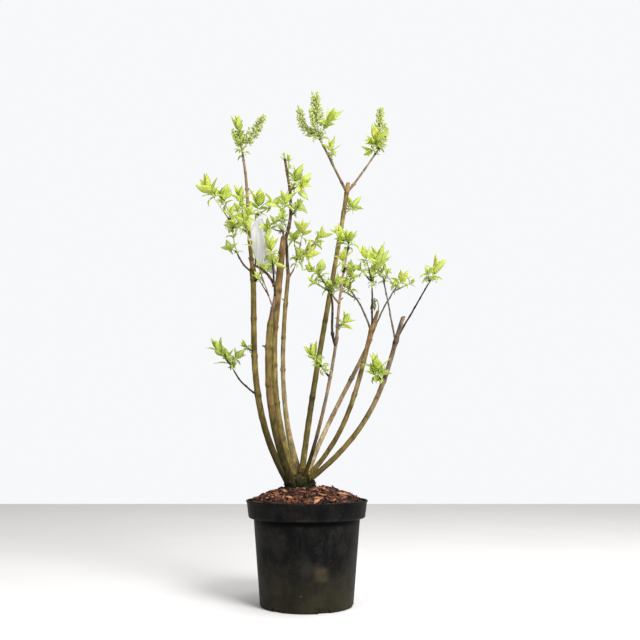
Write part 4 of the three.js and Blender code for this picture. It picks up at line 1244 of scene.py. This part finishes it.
# A tip is its place, its tone from 0, lemon, to 3, deep green, the way its leaves stand and their scale.
# A panicle is the share of the stem that it leaves at, its tip, its width, its early spread and its top.
massKeys = ("name", "on", "at", "out", "leaf", "pairs", "along", "green", "wood", "tips")
masses = (
    ("foliage_1_top", "bough_1_leader", 1073, 0.5, 34, 4, 3, 66, "rose", ((-180, 78, 1162, 0.7, "bud"),),
     {"panicles": ((0.3, (-119, 55, 1174), 20), (0.34, (-192, 82, 1150), 9))}),
    ("foliage_1_left", "cane_1", 778, 0.92, 30, 3, 1, 84, "brown", ((-184, -14, 908, 0.5, "open", 1.1),
     (-205, 5, 950, 1, "closed", 1.1), (-234, -35, 958, 0, "closed", 1.45),
     (-164, -22, 886, 0.2, "closed", 1.05), (-190, 40, 893, 1.2, "open"),
     (-194, 60, 842, 1.4, "star", 0.8))),
    ("foliage_1_right", "cane_1", 764, 0.8, 32, 3, 0, 80, "brown", ((-128, 95, 968, 0.8, "closed", 1.15),
     (-90, 112, 972, 0.9, "open", 1.2))),
    ("foliage_1_green", "cane_1", 748, 0.6, 24, 2, 0, 26, "dark", ((-113, 20, 776, 1.4, "closed"),)),
    ("foliage_1_low", "cane_1", 475, 0.68, 30, 3, 0, 22, "dark", ((-180, -20, 547, 1.7, "star", 1.1),
     (-170, 8, 562, 2, "star", 0.9), (-202, -42, 572, 1.5, "bud", 1.15),
     (-185, -30, 560, 1.8, "star", 0.8))),
    ("foliage_2_left", "bough_2_side", 668, 0.5, 26, 3, 1, 110, "rose", ((-146, -110, 862, 0.4, "closed"),
     (-147, -132, 898, 1.3, "open"), (-136, -85, 890, 0.6, "closed")), {"girth": (1.7, 1.3)}),
    ("foliage_2_right", "bough_2_side", 694, 0.4, 32, 3, 1, 34, "dark", ((-84, -75, 806, 0.3, "closed"),
     (-76, -48, 780, 1, "open"))),
    ("foliage_3_top", "cane_3", 851, 0.5, 30, 3, 0, 30, "brown", ((-61, -12, 902, 1.6, "open"),
     (-77, -42, 880, 1.5, "open"), (-92, -62, 862, 1.4, "open"), (-56, 12, 944, 1.2, "closed"))),
    ("foliage_4_right", "cane_4", 770, 0.62, 32, 3, 0, 34, "grey", ((-26, 92, 828, 1.5, "open"),
     (-3, 125, 842, 0, "closed", 1.1), (-38, 148, 888, 1, "open"), (-13, 105, 896, 0.3, "closed"),
     (32, 150, 894, 0.6, "star"), (20, 182, 888, 1, "open"))),
    ("foliage_4_top", "bough_4_top", 1072, 0.5, 22, 3, 0, 10, "dark",
     ((-61, 62, 1084, 0.8, "closed", 0.45),)),
    ("foliage_4_upper", "bough_4_top", 990, 0.6, 30, 3, 1, 30, "grey",
     ((-31, 85, 1032, 1, "closed", 1.2), (-17, 44, 1000, 0.3, "star", 1.1))),
    ("foliage_4_mid", "bough_4_top", 932, 0.66, 30, 2, 0, 24, "grey", ((-24, 100, 966, 1, "star", 0.62),
     (-28, 62, 944, 1.5, "star", 0.85))),
    ("foliage_5_side", "cane_5", 960, 0.66, 30, 3, 0, 20, "grey", ((113, 134, 972, 0.9, "star", 1.2),)),
    ("foliage_5_left_side", "bough_5_left", 1078, 0.6, 26, 3, 0, 24, "grey",
     ((60, 98, 1111, 0.8, "star", 1.25),)),
    ("foliage_5_left_top", "bough_5_left", 1139, 0.4, 34, 3, 0, 34, "grey",
     ((26, 94, 1150, 1.1, "collar"), (52, 74, 1177, 0.5, "bud", 1.15), (14, 106, 1160, 1.1, "star", 0.6),
     (41, 84, 1166, 1.1, "star", 0.5)), {"panicles": ((0.9, (18, 88, 1246), 28),
     (0.7, (-22, 106, 1213), 10, 0.85, 1), (0.8, (7, 76, 1204), 5, 0.7))}),
    ("foliage_5_right_top", "bough_5_right", 1135, 0.45, 36, 3, 0, 34, "grey",
     ((188, 149, 1148, 0.9, "collar", 0.7), (184, 136, 1150, 0.5, "star", 1.1),
     (168, 138, 1126, 1, "star", 0.8), (174, 131, 1143, 0.9, "bud", 0.75)),
     {"panicles": ((0.9, (192, 151, 1235), 22), (0.6, (210, 168, 1192), 5, 0.8))}),
    ("foliage_6_twig", "bough_6_leader", 676, 0.6, 27, 3, 0, 16, "tan", ((27, -124, 742, 1.2, "open"),
     (16, -130, 718, 1.5, "open", 0.8), (12, -137, 744, 1.1, "open", 1.1)), {"girth": (2.3, 1.5)}),
    ("foliage_6_side", "bough_6_side", 700, 0.5, 26, 3, 0, 18, "dark", ((46, -116, 714, 2.2, "open"),
     (62, -128, 712, 2, "closed"))),
    ("foliage_6_top", "bough_6_leader", 807, 0.5, 34, 3, 0, 26, "dark",
     ((97, -78, 824, 1.4, "closed", 0.95), (83, -68, 840, 0, "bud", 0.98),
     (88, -86, 826, 1, "bud", 0.8))),
    ("foliage_6_upper", "bough_6_leader", 752, 0.66, 26, 3, 0, 26, "dark",
     ((82, -106, 776, 0.4, "closed"), (104, -56, 764, 0.9, "open"))),
    ("foliage_6_mid", "bough_6_leader", 622, 0.66, 26, 3, 0, 16, "dark",
     ((86, -80, 634, 1, "closed"),)),
    ("foliage_6_low", "cane_6", 508, 0.66, 28, 3, 0, 26, "dark", ((31, -106, 534, 1.3, "open"),
     (16, -122, 554, 0.8, "closed"))),
    ("foliage_7_right", "cane_7", 610, 0.4, 30, 3, 0, 26, "grey", ((236, 100, 768, 0.2, "closed"),
     (218, 122, 762, 1.8, "open", 0.68), (258, 82, 758, 1.6, "open", 0.68))),
    ("foliage_8_left", "cane_8", 620, 0.35, 30, 3, 0, 22, "grey", ((92, -52, 724, 1, "closed"),
     (101, -38, 752, 0.2, "closed"), (76, -30, 740, 1.4, "open", 0.68),
     (72, -62, 716, 2, "open", 0.68))),
    ("foliage_8_top", "cane_8", 628, 0.5, 34, 3, 0, 30, "dark", ((152, -50, 745, 1.7, "open", 0.68),
     (136, -74, 788, 0.3, "closed", 0.82), (162, -44, 774, 1.4, "closed"),
     (122, -88, 756, 1.8, "open", 0.68))),
    ("foliage_9_left", "cane_9", 600, 0.5, 36, 4, 0, 34, "grey", ((177, 30, 798, 0.2, "closed", 1.25),
     (190, 2, 764, 1.6, "open", 0.68), (164, 54, 780, 1.4, "open", 0.68))),
    ("foliage_9_right", "cane_9", 606, 0.5, 36, 4, 0, 34, "dark", ((312, 42, 776, 0.5, "bud", 1.08),
     (291, 10, 768, 1.9, "open", 0.66))),
    ("foliage_9_low", "cane_9", 500, 0.6, 32, 4, 0, 22, "grey", ((165, -22, 532, 0.9, "closed", 1.25),
     (156, -30, 519, 1.3, "open"), (174, -16, 520, 1.2, "open"))),
)
# finer twigs that leave the stem of a mass, or a limb at a height
sprays = (
    ("spray", "foliage_1_top", 0.05, 0.5, 26, 3, 0, 30, "rose", ((-169, 72, 1098, 1, "collar"),),
     {"girth": (1.8, 1.5)}),
    ("spray", "foliage_1_top", 0.2, 0.5, 20, 3, 0, 30, "rose", ((-172, 70, 1122, 1, "star"),
     (-166, 76, 1128, 1.2, "star")), {"girth": (1.6, 1.3)}),
    ("spray", "bough_1_leader", 926, 0.7, 30, 2, 0, 40, "dark", ((-166, 36, 962, 0.7, "closed", 1.15),),
     {"girth": (1.8, 1.5)}),
    ("spray", "bough_1_leader", 870, 0.7, 27, 2, 0, 50, "dark", ((-170, 10, 926, 0.9, "open"),),
     {"girth": (1.8, 1.5)}),
    ("spray", "bough_4_top", 1036, 0.8, 17, 2, 0, 40, "dark", ((-49, 60, 1072, 0.8, "closed"),),
     {"girth": (1.6, 1.3)}),
    ("spray", "foliage_2_right", 0.2, 0.35, 0, 0, 0, 0, "brown", ((-131, 24, 790, 1.6, "open"),),
     {"girth": (3.4, 2.7)}),
    ("spray", "foliage_2_left", 0.14, 0.5, 16, 2, 0, 8, "dark", ((-112, -90, 736, 1.4, "closed"),),
     {"girth": (1.4, 1)}),
    ("spray", "cane_1", 580, 0.6, 19, 2, 0, 10, "dark", ((-149, 14, 590, 1, "closed", 0.8),),
     {"girth": (1.8, 1.3)}),
)
twigForm = {
    "girth": (2.5, 1.6), "side": 1.9, "step": 3, "nodeGap": 27, "nodeReach": 1.8, "nodeSwell": 0.34,
    "kink": 1.4, "flare": 0.7, "flareFade": 4, "shoot": (1.5, 0.9), "shootGreen": (0.36, 0.42, 0.09),
    "scaleSize": 0.17, "lowest": 0.3, "highest": 0.93, "forkStep": 0.03, "steepness": 0.4, "forkOut": 0.5,
    "sideShoots": 0.45, "sideLength": (8, 14), "sideLeaf": 0.42, "sideGirths": (1.0, 0.95, 0.9, 0.85, 0.7),
    "sideBelow": 3, "sideOpening": 48, "sideOut": 0.6, "sideSpare": 4, "sideTone": 0.6,
    "loneGirth": (1.2, 0.8), "kinkPace": 0.05, "shade": 0.8, "shadeLayers": ((0.5, 0.09),),
    "jointShade": 0.4, "shootShades": (0.75, 1.1), "leastWood": 0.25, "mostGreen": 0.8,
}
# every row is a pair: mm below the tip, share of the leaf, opening, kinds of leaf, shift of tone; the shift
# toward deep green on the lower pairs is partly painted shade
tuftRows = {
    "closed": ((0, 0.62, 8, (0,), -0.4), (1, 0.85, 18, (0, 1), -0.3), (2.5, 1.0, 33, (1,), -0.1),
               (5, 1.0, 50, (1, 2), 0.2), (10, 0.78, 70, (2, 4), 0.7), (17, 0.66, 86, (4, 7), 1.1),
               (24, 0.3, 70, (5,), 1.2)),
    "bud": ((0, 0.62, 5, (0,), -0.4), (1, 0.88, 11, (0, 1), -0.2), (2.5, 1.0, 20, (1,), 0.0),
            (5, 0.92, 32, (1, 2), 0.3), (10, 0.7, 62, (2, 4), 0.8), (17, 0.66, 86, (4, 7), 1.2)),
    "star": ((0, 0.7, 14, (0,), -0.3), (1, 0.95, 34, (0, 1), 0.0), (3, 0.95, 56, (1, 2), 0.4),
             (6, 0.6, 84, (4, 7), 0.9), (12, 0.3, 70, (5,), 1.0)),
    "open": ((0, 0.5, 12, (0,), -0.3), (2, 0.74, 30, (1,), 0.0), (6, 0.8, 56, (2, 4), 0.3),
             (12, 0.7, 80, (4, 7), 0.8), (18, 0.5, 95, (7,), 1.0), (24, 0.3, 70, (5,), 1.0)),
    "collar": ((0, 0.6, 44, (1, 4), 0.0), (4, 0.8, 62, (2, 4), 0.3), (11, 0.66, 84, (4, 7), 1.0),
               (18, 0.3, 70, (5,), 1.0)),
}
# the rows that each way of standing shows beyond the pairs of its mass
tuftGrowth = {"closed": 4, "bud": 3, "star": 2, "open": 2, "collar": 1}
pairForm = {
    "jitter": 10, "twist": 16, "shortest": 0.86, "spread": 0.28, "toneSpread": 0.9, "broad": (0.9, 1.15),
    "offStem": 0.6,
    # share of the leaf that has to keep this far from the limbs
    "spare": ((0.4, 1.5), (1, 0.5)),
    "stemFrom": 0.72, "stemGap": 0.22, "stemOpening": 58, "stemSize": 0.7, "stemKinds": (2, 3, 4),
    "stemTone": 0.8, "forkOpening": 75, "forkSize": 0.5, "forkKinds": (4, 7), "forkTone": 1, "loneSeed": 55,
}
scaleForm = {"kind": 5, "opening": (30, 55), "offStem": 0.8, "sizes": (0.8, 1.2), "broad": 1.3}
panicleForm = {
    "bare": 0.24, "gap": 8.6, "open": 42, "wide": 1.5, "base": 0.7, "swell": 1.4, "crest": 1.15, "top": 0.4,
    "turn": 1.45, "stalk": (1.5, 0.9), "branch": (0.9, 0.6), "budGap": 6.0, "budSize": (2.5, 3.3),
    "litBudShare": 0.55, "green": (0.32, 0.38, 0.10), "openings": (1.2, 0.6), "sway": 0.5,
    "reaches": (0.8, 1.15), "branchOut": 0.62, "budRun": 0.8, "budOpening": (46, 70), "tipOpening": 0.1,
    "budSway": 0.6, "budOff": 0.5, "budStretch": 0.3,
}
# carrier, height or share on it, run of the stalk, way of the leaf, length, kind, tone and breadth
loneLeaves = (
    ("foliage_1_left 0", 0.96, (2, -5, 3), (0.16, -0.2, 1), 38, 2, 1, 1.8),
    ("bough_1_leader", 922, (-9, -24, -3), (0.42, -0.15, -1), 43, 2, 0, 1.3),
    ("bough_1_leader", 926, (-6, -20, -4), (0.1, -0.3, -1), 34, 1, 0, 1.2),
    ("foliage_6_twig", 0.95, (3, -3, 5), (0.1, -0.2, 1), 29, 2, 2, 1.6),
    ("bough_4_top", 974, (19, 4, 24), (34, -4, -30), 37, 2, 2, 1.1),
    ("bough_4_top", 952, (11, -4, 12), (35, -4, -28), 42, 2, 2, 1.0),
    ("foliage_1_right", 0.95, (18, -10, 12), (30, -6, -2), 36, 3, 1, 1.1),
)
# carrier, height on it, facing, rise, length and radii of dead spurs
spurs = (
    ("cane_2", 574, 180, 30, 9, (2.4, 1.5)),
    ("cane_4", 712, 190, 40, 8, (1.8, 1.1)),
    ("bough_6_leader", 683, 5, 40, 8, (1.6, 1.0)),
    ("cane_8", 466, -20, 50, 6, (2.0, 1.3)),
    ("cane_3", 640, 120, 45, 6, (1.8, 1.1)),
    ("bough_5_right", 1134, 0, 25, 5, (2.2, 1.2)),
    ("cane_7", 520, 60, 45, 7, (1.8, 1.1)),
)
# a stalk that wilted on the cut end of the eighth cane, with its drooping leaves
wilted = {
    "seed": 31,
    "stalk": ((167, -20, 668), (169, -18, 682), (166, -15, 697), (159, -13, 702), (156, -13, 694)),
    "radii": (1.4, 1.1, 1.0, 1.0, 1.2),
    "leaves": (
        ((159, -13, 702), (-0.1, -0.2, -1), 26, 4), ((157, -13, 697), (0.15, 0.1, -1), 28, 7),
        ((156, -13, 694), (-0.2, 0.1, -1), 24, 4), ((156, -13, 692), (0.25, -0.25, -0.9), 22, 6),
        ((166, -15, 697), (-0.7, 0.1, -0.5), 14, 7),
    ),
}
# name of the piece, its finish, dark and pale colour, light let through and slot
tissues = {
    "wilted": ("wiltedLeaves", "wiltedTissue", (0.075, 0.075, 0.030), (0.16, 0.17, 0.075), 0, "foliage"),
    "scale": ("budScales", "scaleTissue", (0.11, 0.08, 0.03), (0.27, 0.24, 0.07), 0, "foliage"),
    # the pale flower buds are a lighter copy of the green ones, a painted highlight dealt at random among
    # the buds
    "pale": ("paleFlowerBuds", "paleBudSkin", (0.57, 0.62, 0.22), (0.70, 0.74, 0.33), 0.4, "foliage"),
    "green": ("greenFlowerBuds", "greenBudSkin", (0.54, 0.61, 0.20), (0.66, 0.71, 0.29), 0.4, "foliage"),
    "dormant": ("dormantBuds", "dormantBudSkin", (0.07, 0.035, 0.018), (0.20, 0.115, 0.05), 0, "twig_bark"),
}
shootGreen = Vector(twigForm["shootGreen"])
leafSpots = [Spots() for tone in leafTones]
spots = {kind: Spots() for kind in tissues}
woodyLines, greenLines = Lines(), Lines()
limbRings = [ring for limb in limbs.values() for ring in limb["rings"]]
limbTree = KDTree(len(limbRings))
for index, ring in enumerate(limbRings):
    limbTree.insert(ring.point, index)
limbTree.balance()


def clearOfLimbs(point, spare):
    middle, index, away = limbTree.find(point)
    return away > limbRings[index].radius + spare


def openWay(ring, turn, opening):
    # the way a leaf or bud points, and the way its upper face looks
    outward = ring.outward(turn)
    way = ring.along * cos(opening) + outward * sin(opening)
    upper = ring.along * sin(opening) - outward * cos(opening)
    way.z += leafForm["lift"]
    return way.normalized(), upper, outward


def keptInside(point, way, size):
    # a leaf that would leave the bush's reach stands up instead
    for axis in (0, 1):
        least = (cadBox[0][axis] / mm - point[axis]) / size
        most = (cadBox[1][axis] / mm - point[axis]) / size
        way[axis] = clamp(way[axis], min(-0.05, least), max(0.05, most))
    return way.normalized()


def addLeaf(group, root, way, upper, length, kind, draw, broad=1.0):
    twist = radians(pairForm["twist"] * (2 * draw() - 1))
    size = length / leafForm["length"]
    group.add(root, way, Matrix.Rotation(twist, 3, way) @ upper, (size * broad, size, size), kind)


def leafPair(curve, share, turn, opening, length, kinds, tone, draw):
    ring = Ring(curve, share)
    for half in (0, pi):
        jitter = radians(pairForm["jitter"] * (2 * draw() - 1))
        size = leafForm["scale"] * length * (pairForm["shortest"] + pairForm["spread"] * draw())
        way, upper, outward = openWay(ring, turn + half + jitter, radians(opening) + jitter)
        way = keptInside(ring.point, way, size)
        kind = kinds[int(draw() * len(kinds))]
        shade = clamp(round(tone + pairForm["toneSpread"] * (draw() - 0.5)), 0, len(leafTones) - 1)
        broad = lerp(*pairForm["broad"], draw())
        root = ring.point + outward * pairForm["offStem"]
        if all(clearOfLimbs(root + way * size * part, spare) for part, spare in pairForm["spare"]):
            addLeaf(leafSpots[shade], root, way, upper, size, kind, draw, broad)


def scalePair(curve, share, size, draw):
    turn, ring = pi * draw(), Ring(curve, share)
    for half in (0, pi):
        way, upper, outward = openWay(ring, turn + half, radians(lerp(*scaleForm["opening"], draw())))
        root = ring.point + outward * scaleForm["offStem"]
        length = size * lerp(*scaleForm["sizes"], draw())
        addLeaf(spots["scale"], root, way, upper, length, scaleForm["kind"], draw, scaleForm["broad"])


def drawTwig(curve, girths, green, wood, draw):
    # wood with swollen joints, then the year's green growth
    count = max(3, round(curve.length / twigForm["step"]))
    woody = 1 - green / curve.length if green < curve.length else twigForm["leastWood"]
    shift = Vector((draw(), draw(), draw())) * 30
    points, radii, tints = [], [], []
    for share in evenShares(count):
        point, travelled = curve.pointAt(share), share * curve.length
        joint = bell(travelled % twigForm["nodeGap"] - twigForm["nodeGap"] / 2, twigForm["nodeReach"])
        flare = 1 + twigForm["flare"] * exp(-travelled / twigForm["flareFade"])
        radii.append(lerp(*girths, share) * (1 + twigForm["nodeSwell"] * joint) * flare)
        bend = twigForm["kink"] * sin(pi * share)
        points.append(point + noise.noise_vector(point * twigForm["kinkPace"] + shift) * bend)
        shade = twigForm["shade"] + roughness(point, twigForm["shadeLayers"], shift)
        tints.append(barkTone(wood) * shade * (1 - twigForm["jointShade"] * joint))
    cut = clamp(round(woody * count), 1, count)
    if woody > 0.05:
        woodyLines.add(points[:cut + 1], radii[:cut + 1], tints[:cut + 1])
    if green > 0:
        shares = [k / max(1, count - cut) for k in range(count - cut + 1)]
        greenLines.add(points[cut:], [lerp(*twigForm["shoot"], share) for share in shares],
                       [shootGreen * lerp(*twigForm["shootShades"], share) for share in shares])
        size = twigForm["scaleSize"] * leafForm["length"]
        scalePair(curve, woody, size, draw)
        scalePair(curve, min(1, woody + 0.02), 0.8 * size, draw)


def growTuft(curve, pairs, leaf, tone, stance, draw, finer=True):
    turn = draw() * pi
    rows = tuftRows[stance][:pairs + tuftGrowth[stance]]
    for k, (below, share, opening, kinds, shift) in enumerate(rows):
        place = max(0.15, 1 - below / curve.length)
        leafPair(curve, place, turn + k * pi / 2, opening, leaf * share, kinds, tone + shift, draw)
    if not finer or pairs < 2:
        return
    # short side shoots under the tuft
    ring = Ring(curve, max(0.1, 1 - (rows[-1][0] + twigForm["sideBelow"]) / curve.length))
    for half in (0, pi):
        if draw() < twigForm["sideShoots"]:
            way = openWay(ring, turn + half, radians(twigForm["sideOpening"]))[0]
            tip = ring.point + way * lerp(*twigForm["sideLength"], draw())
            shoot = TwigCurve(ring.point, tip, twigForm["sideOut"])
            if clearOfLimbs(tip, twigForm["sideSpare"]):
                greenLines.follow(shoot, twigForm["sideGirths"], shootGreen)
                tipLeaf, tipTone = leaf * twigForm["sideLeaf"], tone + twigForm["sideTone"]
                growTuft(shoot, 1, tipLeaf, tipTone, "open", draw, False)


def forkShare(stem, tip):
    # the highest place that the side twig can climb from
    best = share = twigForm["lowest"]
    while share <= twigForm["highest"]:
        point = stem.pointAt(share)
        if tip.z - point.z > twigForm["steepness"] * hypot(tip.x - point.x, tip.y - point.y):
            best = share
        share += twigForm["forkStep"]
    return best


def growPanicle(foot, tip, width, draw, out=0.5, top=panicleForm["top"]):
    line, green, bare = TwigCurve(foot, tip, out), Vector(panicleForm["green"]), panicleForm["bare"]
    greenLines.follow(line, panicleForm["stalk"], green, max(6, round(line.length / 4)))
    levels = max(4, round((1 - bare) * line.length / panicleForm["gap"]))
    for level in range(levels + 1):
        climb = level / levels
        ring = Ring(line, lerp(bare, 1, climb))
        opening = radians(panicleForm["open"] * lerp(*panicleForm["openings"], climb))
        broad = min(panicleForm["base"] + climb * panicleForm["swell"],
                    lerp(panicleForm["crest"], top, climb), 1)
        for half in (0, pi):
            turn = level * panicleForm["turn"] + half + panicleForm["sway"] * (draw() - 0.5)
            way = openWay(ring, turn, opening)[0]
            reach = width / 2 * panicleForm["wide"] * broad * lerp(*panicleForm["reaches"], draw())
            end = ring.point + way * reach / (0.1 + sin(opening))
            branch = TwigCurve(ring.point, end, panicleForm["branchOut"])
            greenLines.follow(branch, panicleForm["branch"], green)
            addBuds(branch, draw)


def addBuds(branch, draw):
    count = max(1, round(branch.length / panicleForm["budGap"]))
    for k in range(count + 1):
        ring = Ring(branch, 1 - panicleForm["budRun"] * k / (count + 1))
        for half in (0, pi) if k else (0,):
            opening = radians(lerp(*panicleForm["budOpening"], draw())) if k else panicleForm["tipOpening"]
            turn = k * pi / 2 + half + panicleForm["budSway"] * draw()
            way, upper, outward = openWay(ring, turn, opening)
            size = lerp(*panicleForm["budSize"], draw())
            # a share of the buds take the lighter skin, a painted highlight
            group = spots["pale" if draw() < panicleForm["litBudShare"] else "green"]
            sizes = (size, size * (1 + panicleForm["budStretch"] * draw()), size)
            group.add(ring.point + way * panicleForm["budOff"], way, upper, sizes, int(2 * draw()))


def growMass(spec, seed):
    draw, name, pairs, wood = seededDraws(seed), spec["name"], spec["pairs"], spec["wood"]
    girths = spec.get("girth", twigForm["girth"])
    tips = [(Vector((x, y, z)), tone, stance, spec["leaf"] * (scale[0] if scale else 1))
            for x, y, z, tone, stance, *scale in spec["tips"]]
    (tip, tone, stance, leaf), *others = tips
    stem = stems[name] = TwigCurve(placeOn(spec["on"], spec["at"]), tip, spec["out"])
    drawTwig(stem, girths, spec["green"], wood, draw)
    if pairs:
        growTuft(stem, pairs, leaf, tone, stance, draw)
    for k in range(spec["along"]):
        place = pairForm["stemFrom"] - pairForm["stemGap"] * k
        leafPair(stem, place, draw() * pi, pairForm["stemOpening"], leaf * pairForm["stemSize"],
                 pairForm["stemKinds"], tone + pairForm["stemTone"], draw)
    for k, (tip, tone, stance, leaf) in enumerate(others):
        fork = forkShare(stem, tip)
        side = stems[f"{name} {k}"] = TwigCurve(stem.pointAt(fork), tip, twigForm["forkOut"])
        green = min(spec["green"], side.length * twigForm["mostGreen"])
        drawTwig(side, (min(girths[0], twigForm["side"]), twigForm["girth"][1]), green, wood, draw)
        growTuft(side, max(2, pairs - 1), leaf, tone, stance, draw)
        leafPair(stem, fork, draw() * pi, pairForm["forkOpening"], leaf * pairForm["forkSize"],
                 pairForm["forkKinds"], tone + pairForm["forkTone"], draw)
    for start, tip, width, *form in spec.get("panicles", ()):
        growPanicle(stem.pointAt(start), Vector(tip), width, draw, *form)


def growLoneLeaf(carrier, at, run, way, length, kind, tone, broad):
    foot = placeOn(carrier, at)
    stalk = TwigCurve(foot, foot + Vector(run), 0.5)
    greenLines.follow(stalk, twigForm["loneGirth"], shootGreen)
    addLeaf(leafSpots[tone], stalk.tip, Vector(way).normalized(), Vector((0, -1, 0.4)), length, kind,
            seededDraws(pairForm["loneSeed"]), broad)


def nearestRing(limb, height):
    return min(limb["rings"], key=lambda ring: abs(ring.point.z - height))


def addDormantBuds():
    bud = budForm["dormant"]
    draw = seededDraws(bud["seed"])
    for limb in limbs.values():
        for k, height in enumerate(limb["heights"]):
            ring = nearestRing(limb, height + bud["above"])
            for half in (0, pi):
                outward = ring.outward(limb["turn"] + k * pi / 2 + half)
                size = lerp(*bud["sizes"], draw())
                if draw() < bud["share"]:
                    way = (ring.along + outward * bud["lean"]).normalized()
                    root = ring.point + outward * ring.radius * bud["seat"]
                    spots["dormant"].add(root, way, outward, (size * bud["broad"], size, size), 1)


def addSpur(carrier, at, facing, rise, length, radii):
    ring = nearestRing(limbs[carrier], at)
    rise = radians(rise)
    way = roundPoint(cos(rise), radians(facing), sin(rise))
    reach = ring.radius + length
    shares = evenShares(5)
    woodyLines.add([ring.point + way * reach * share for share in shares],
                   [lerp(*radii, share) for share in shares],
                   [barkTone("brown") * shade for shade in (1, 1, 1, 1, 0.7, 0.4)])


def addWilted():
    draw, pale, stalk = seededDraws(wilted["seed"]), tissues["wilted"][3], wilted["stalk"]
    woodyLines.add(stalk, wilted["radii"], [pale] * len(stalk))
    for root, way, length, kind in wilted["leaves"]:
        addLeaf(spots["wilted"], Vector(root), Vector(way).normalized(), Vector((0.3, -1, 0.1)),
                length, kind, draw, 1.2)


for rows, firstSeed in ((masses, 1000), (sprays, 2000)):
    for index, spec in enumerate(readRows(massKeys, rows)):
        growMass(spec, firstSeed + 17 * index)
for row in loneLeaves:
    growLoneLeaf(*row)
addDormantBuds()
print("shoots are grown:", sum(len(group.points) for group in leafSpots), "leaves")


def shootSkin():
    material, tree, shader = newMaterial("greenShootSkin", Roughness=0.5)
    paint(tree, shader, shadedTint(tree, objectNoise(tree, 200), (0.35, 0.75), (0.65, 1.15)))
    return material


def makeShoots():
    leafShapes = shapeCollection(
        "leafShape", [leafMesh(f"leafShape{k}", kind) for k, kind in enumerate(leafForm["kinds"])])
    budShapes = shapeCollection(
        "budShape", [budMesh("roundBud", *budForm["round"]), budMesh("longBud", *budForm["long"])])
    massNames = [row[0] for row in masses]
    for group, (name, colour) in zip(leafSpots, leafTones):
        dress(group.grow(name, leafShapes, leafTissue(name, colour)), None, "foliage", *massNames)
    for kind, (name, finish, dark, pale, through, slot) in tissues.items():
        shapes = leafShapes if kind in ("wilted", "scale") else budShapes
        skin = cloudyFinish(finish, dark, pale, through=through, Roughness=0.6)
        dress(spots[kind].grow(name, shapes, skin), None, slot, *massNames)
    dress(woodyLines.grow("woodyTwigs", 8, barkMaterial), None, "twig_bark", *massNames)
    dress(greenLines.grow("greenShoots", 7, shootSkin()), None, "foliage", *massNames)


for row in spurs:
    addSpur(*row)
addWilted()
makeShoots()
print("leaves, buds and twigs are made")


label = {
    "on": "bough_1_leader", "at": 860, "above": 54, "below": 92, "width": 42, "waist": 0.76, "thick": 0.5,
    "lean": -0.116, "bow": (0.0039, -0.003), "turn": 38, "waistReach": 14, "ends": (0.3, 3.6),
    "rows": 56, "columns": 12, "cup": 3.0,
    "band": {"height": 4.5, "thick": 0.9, "gap": 0.6, "sides": 36, "lap": 1}, "sharpFrom": 50,
    "white": (0.78, 0.77, 0.78), "streak": (0.58, 0.57, 0.59), "through": 0.3,
}


def labelPlace(middle, climb, local):
    height = lerp(-label["below"], label["above"], climb)
    turn = radians(label["turn"]) * max(0, -height / label["below"])
    ends = min(1, label["ends"][0] + label["ends"][1] * min(climb, 1 - climb))
    pinch = 1 - (1 - label["waist"]) * bell(height, label["waistReach"])
    across = label["width"] * ends * pinch * local
    deep = label["cup"] * (4 * local * local - 1) * ends * pinch / 2
    bowX, bowY = label["bow"]
    return middle + Vector((
        label["lean"] * height + bowX * height ** 2 + across * cos(turn) - deep * sin(turn),
        bowY * height ** 2 - across * sin(turn) - deep * cos(turn),
        height,
    ))


def addBand(mesh, ring, girth):
    # the ring of the label that holds it to its stem
    band, body = label["band"], bmesh.new()
    body.from_mesh(mesh)
    sides, half, inner = band["sides"], band["height"] / 2, girth - band["thick"]
    corners = []
    for k in range(sides):
        outward = ring.outward(2 * pi * k / sides)
        corners.append([body.verts.new((ring.point + outward * reach + ring.along * lift) * mm)
                        for reach, lift in ((girth, -half), (girth, half), (inner, half), (inner, -half))])
    for near, far in zip(corners, corners[1:] + corners[:1]):
        for c in range(4):
            body.faces.new((near[c], near[(c + 1) % 4], far[(c + 1) % 4], far[c]))
    bmesh.ops.recalc_face_normals(body, faces=body.faces)
    body.to_mesh(mesh)
    body.free()


def makeLabel():
    limb, band, columns = limbs[label["on"]], label["band"], label["columns"]
    share = limb["curve"].shareAt(label["at"])
    ring = Ring(limb["curve"], share, radius=limbRadius(limb, share))
    girth = ring.radius + band["gap"] + band["thick"]
    middle = ring.point + Vector((girth - band["lap"] + label["width"] * label["waist"] / 2, 0, 0))
    points = [labelPlace(middle, climb, across - 0.5)
              for climb in evenShares(label["rows"]) for across in evenShares(columns)]
    corners = [i * (columns + 1) + j for i in range(label["rows"]) for j in range(columns)]
    faces = [(first, first + 1, first + columns + 2, first + columns + 1) for first in corners]
    strip = newPiece("plantLabel", meshOf("plantLabel", points, faces))
    wall = strip.modifiers.new("thickness", "SOLIDIFY")
    wall.thickness = label["thick"] * mm
    wall.offset = 0
    strip.data = bakeModifiers(strip)
    addBand(strip.data, ring, girth)
    strip.data.shade_smooth()
    strip.data.set_sharp_from_angle(angle=radians(label["sharpFrom"]))
    blank = cloudyFinish("blankLabelPlastic", label["streak"], label["white"], 150, (0.38, 0.62), None,
                         label["through"], stretch=(1, 1, 0.08), Roughness=0.38)
    dress(strip, blank, "label_plastic", "plant_label")


makeLabel()
print("label is made")
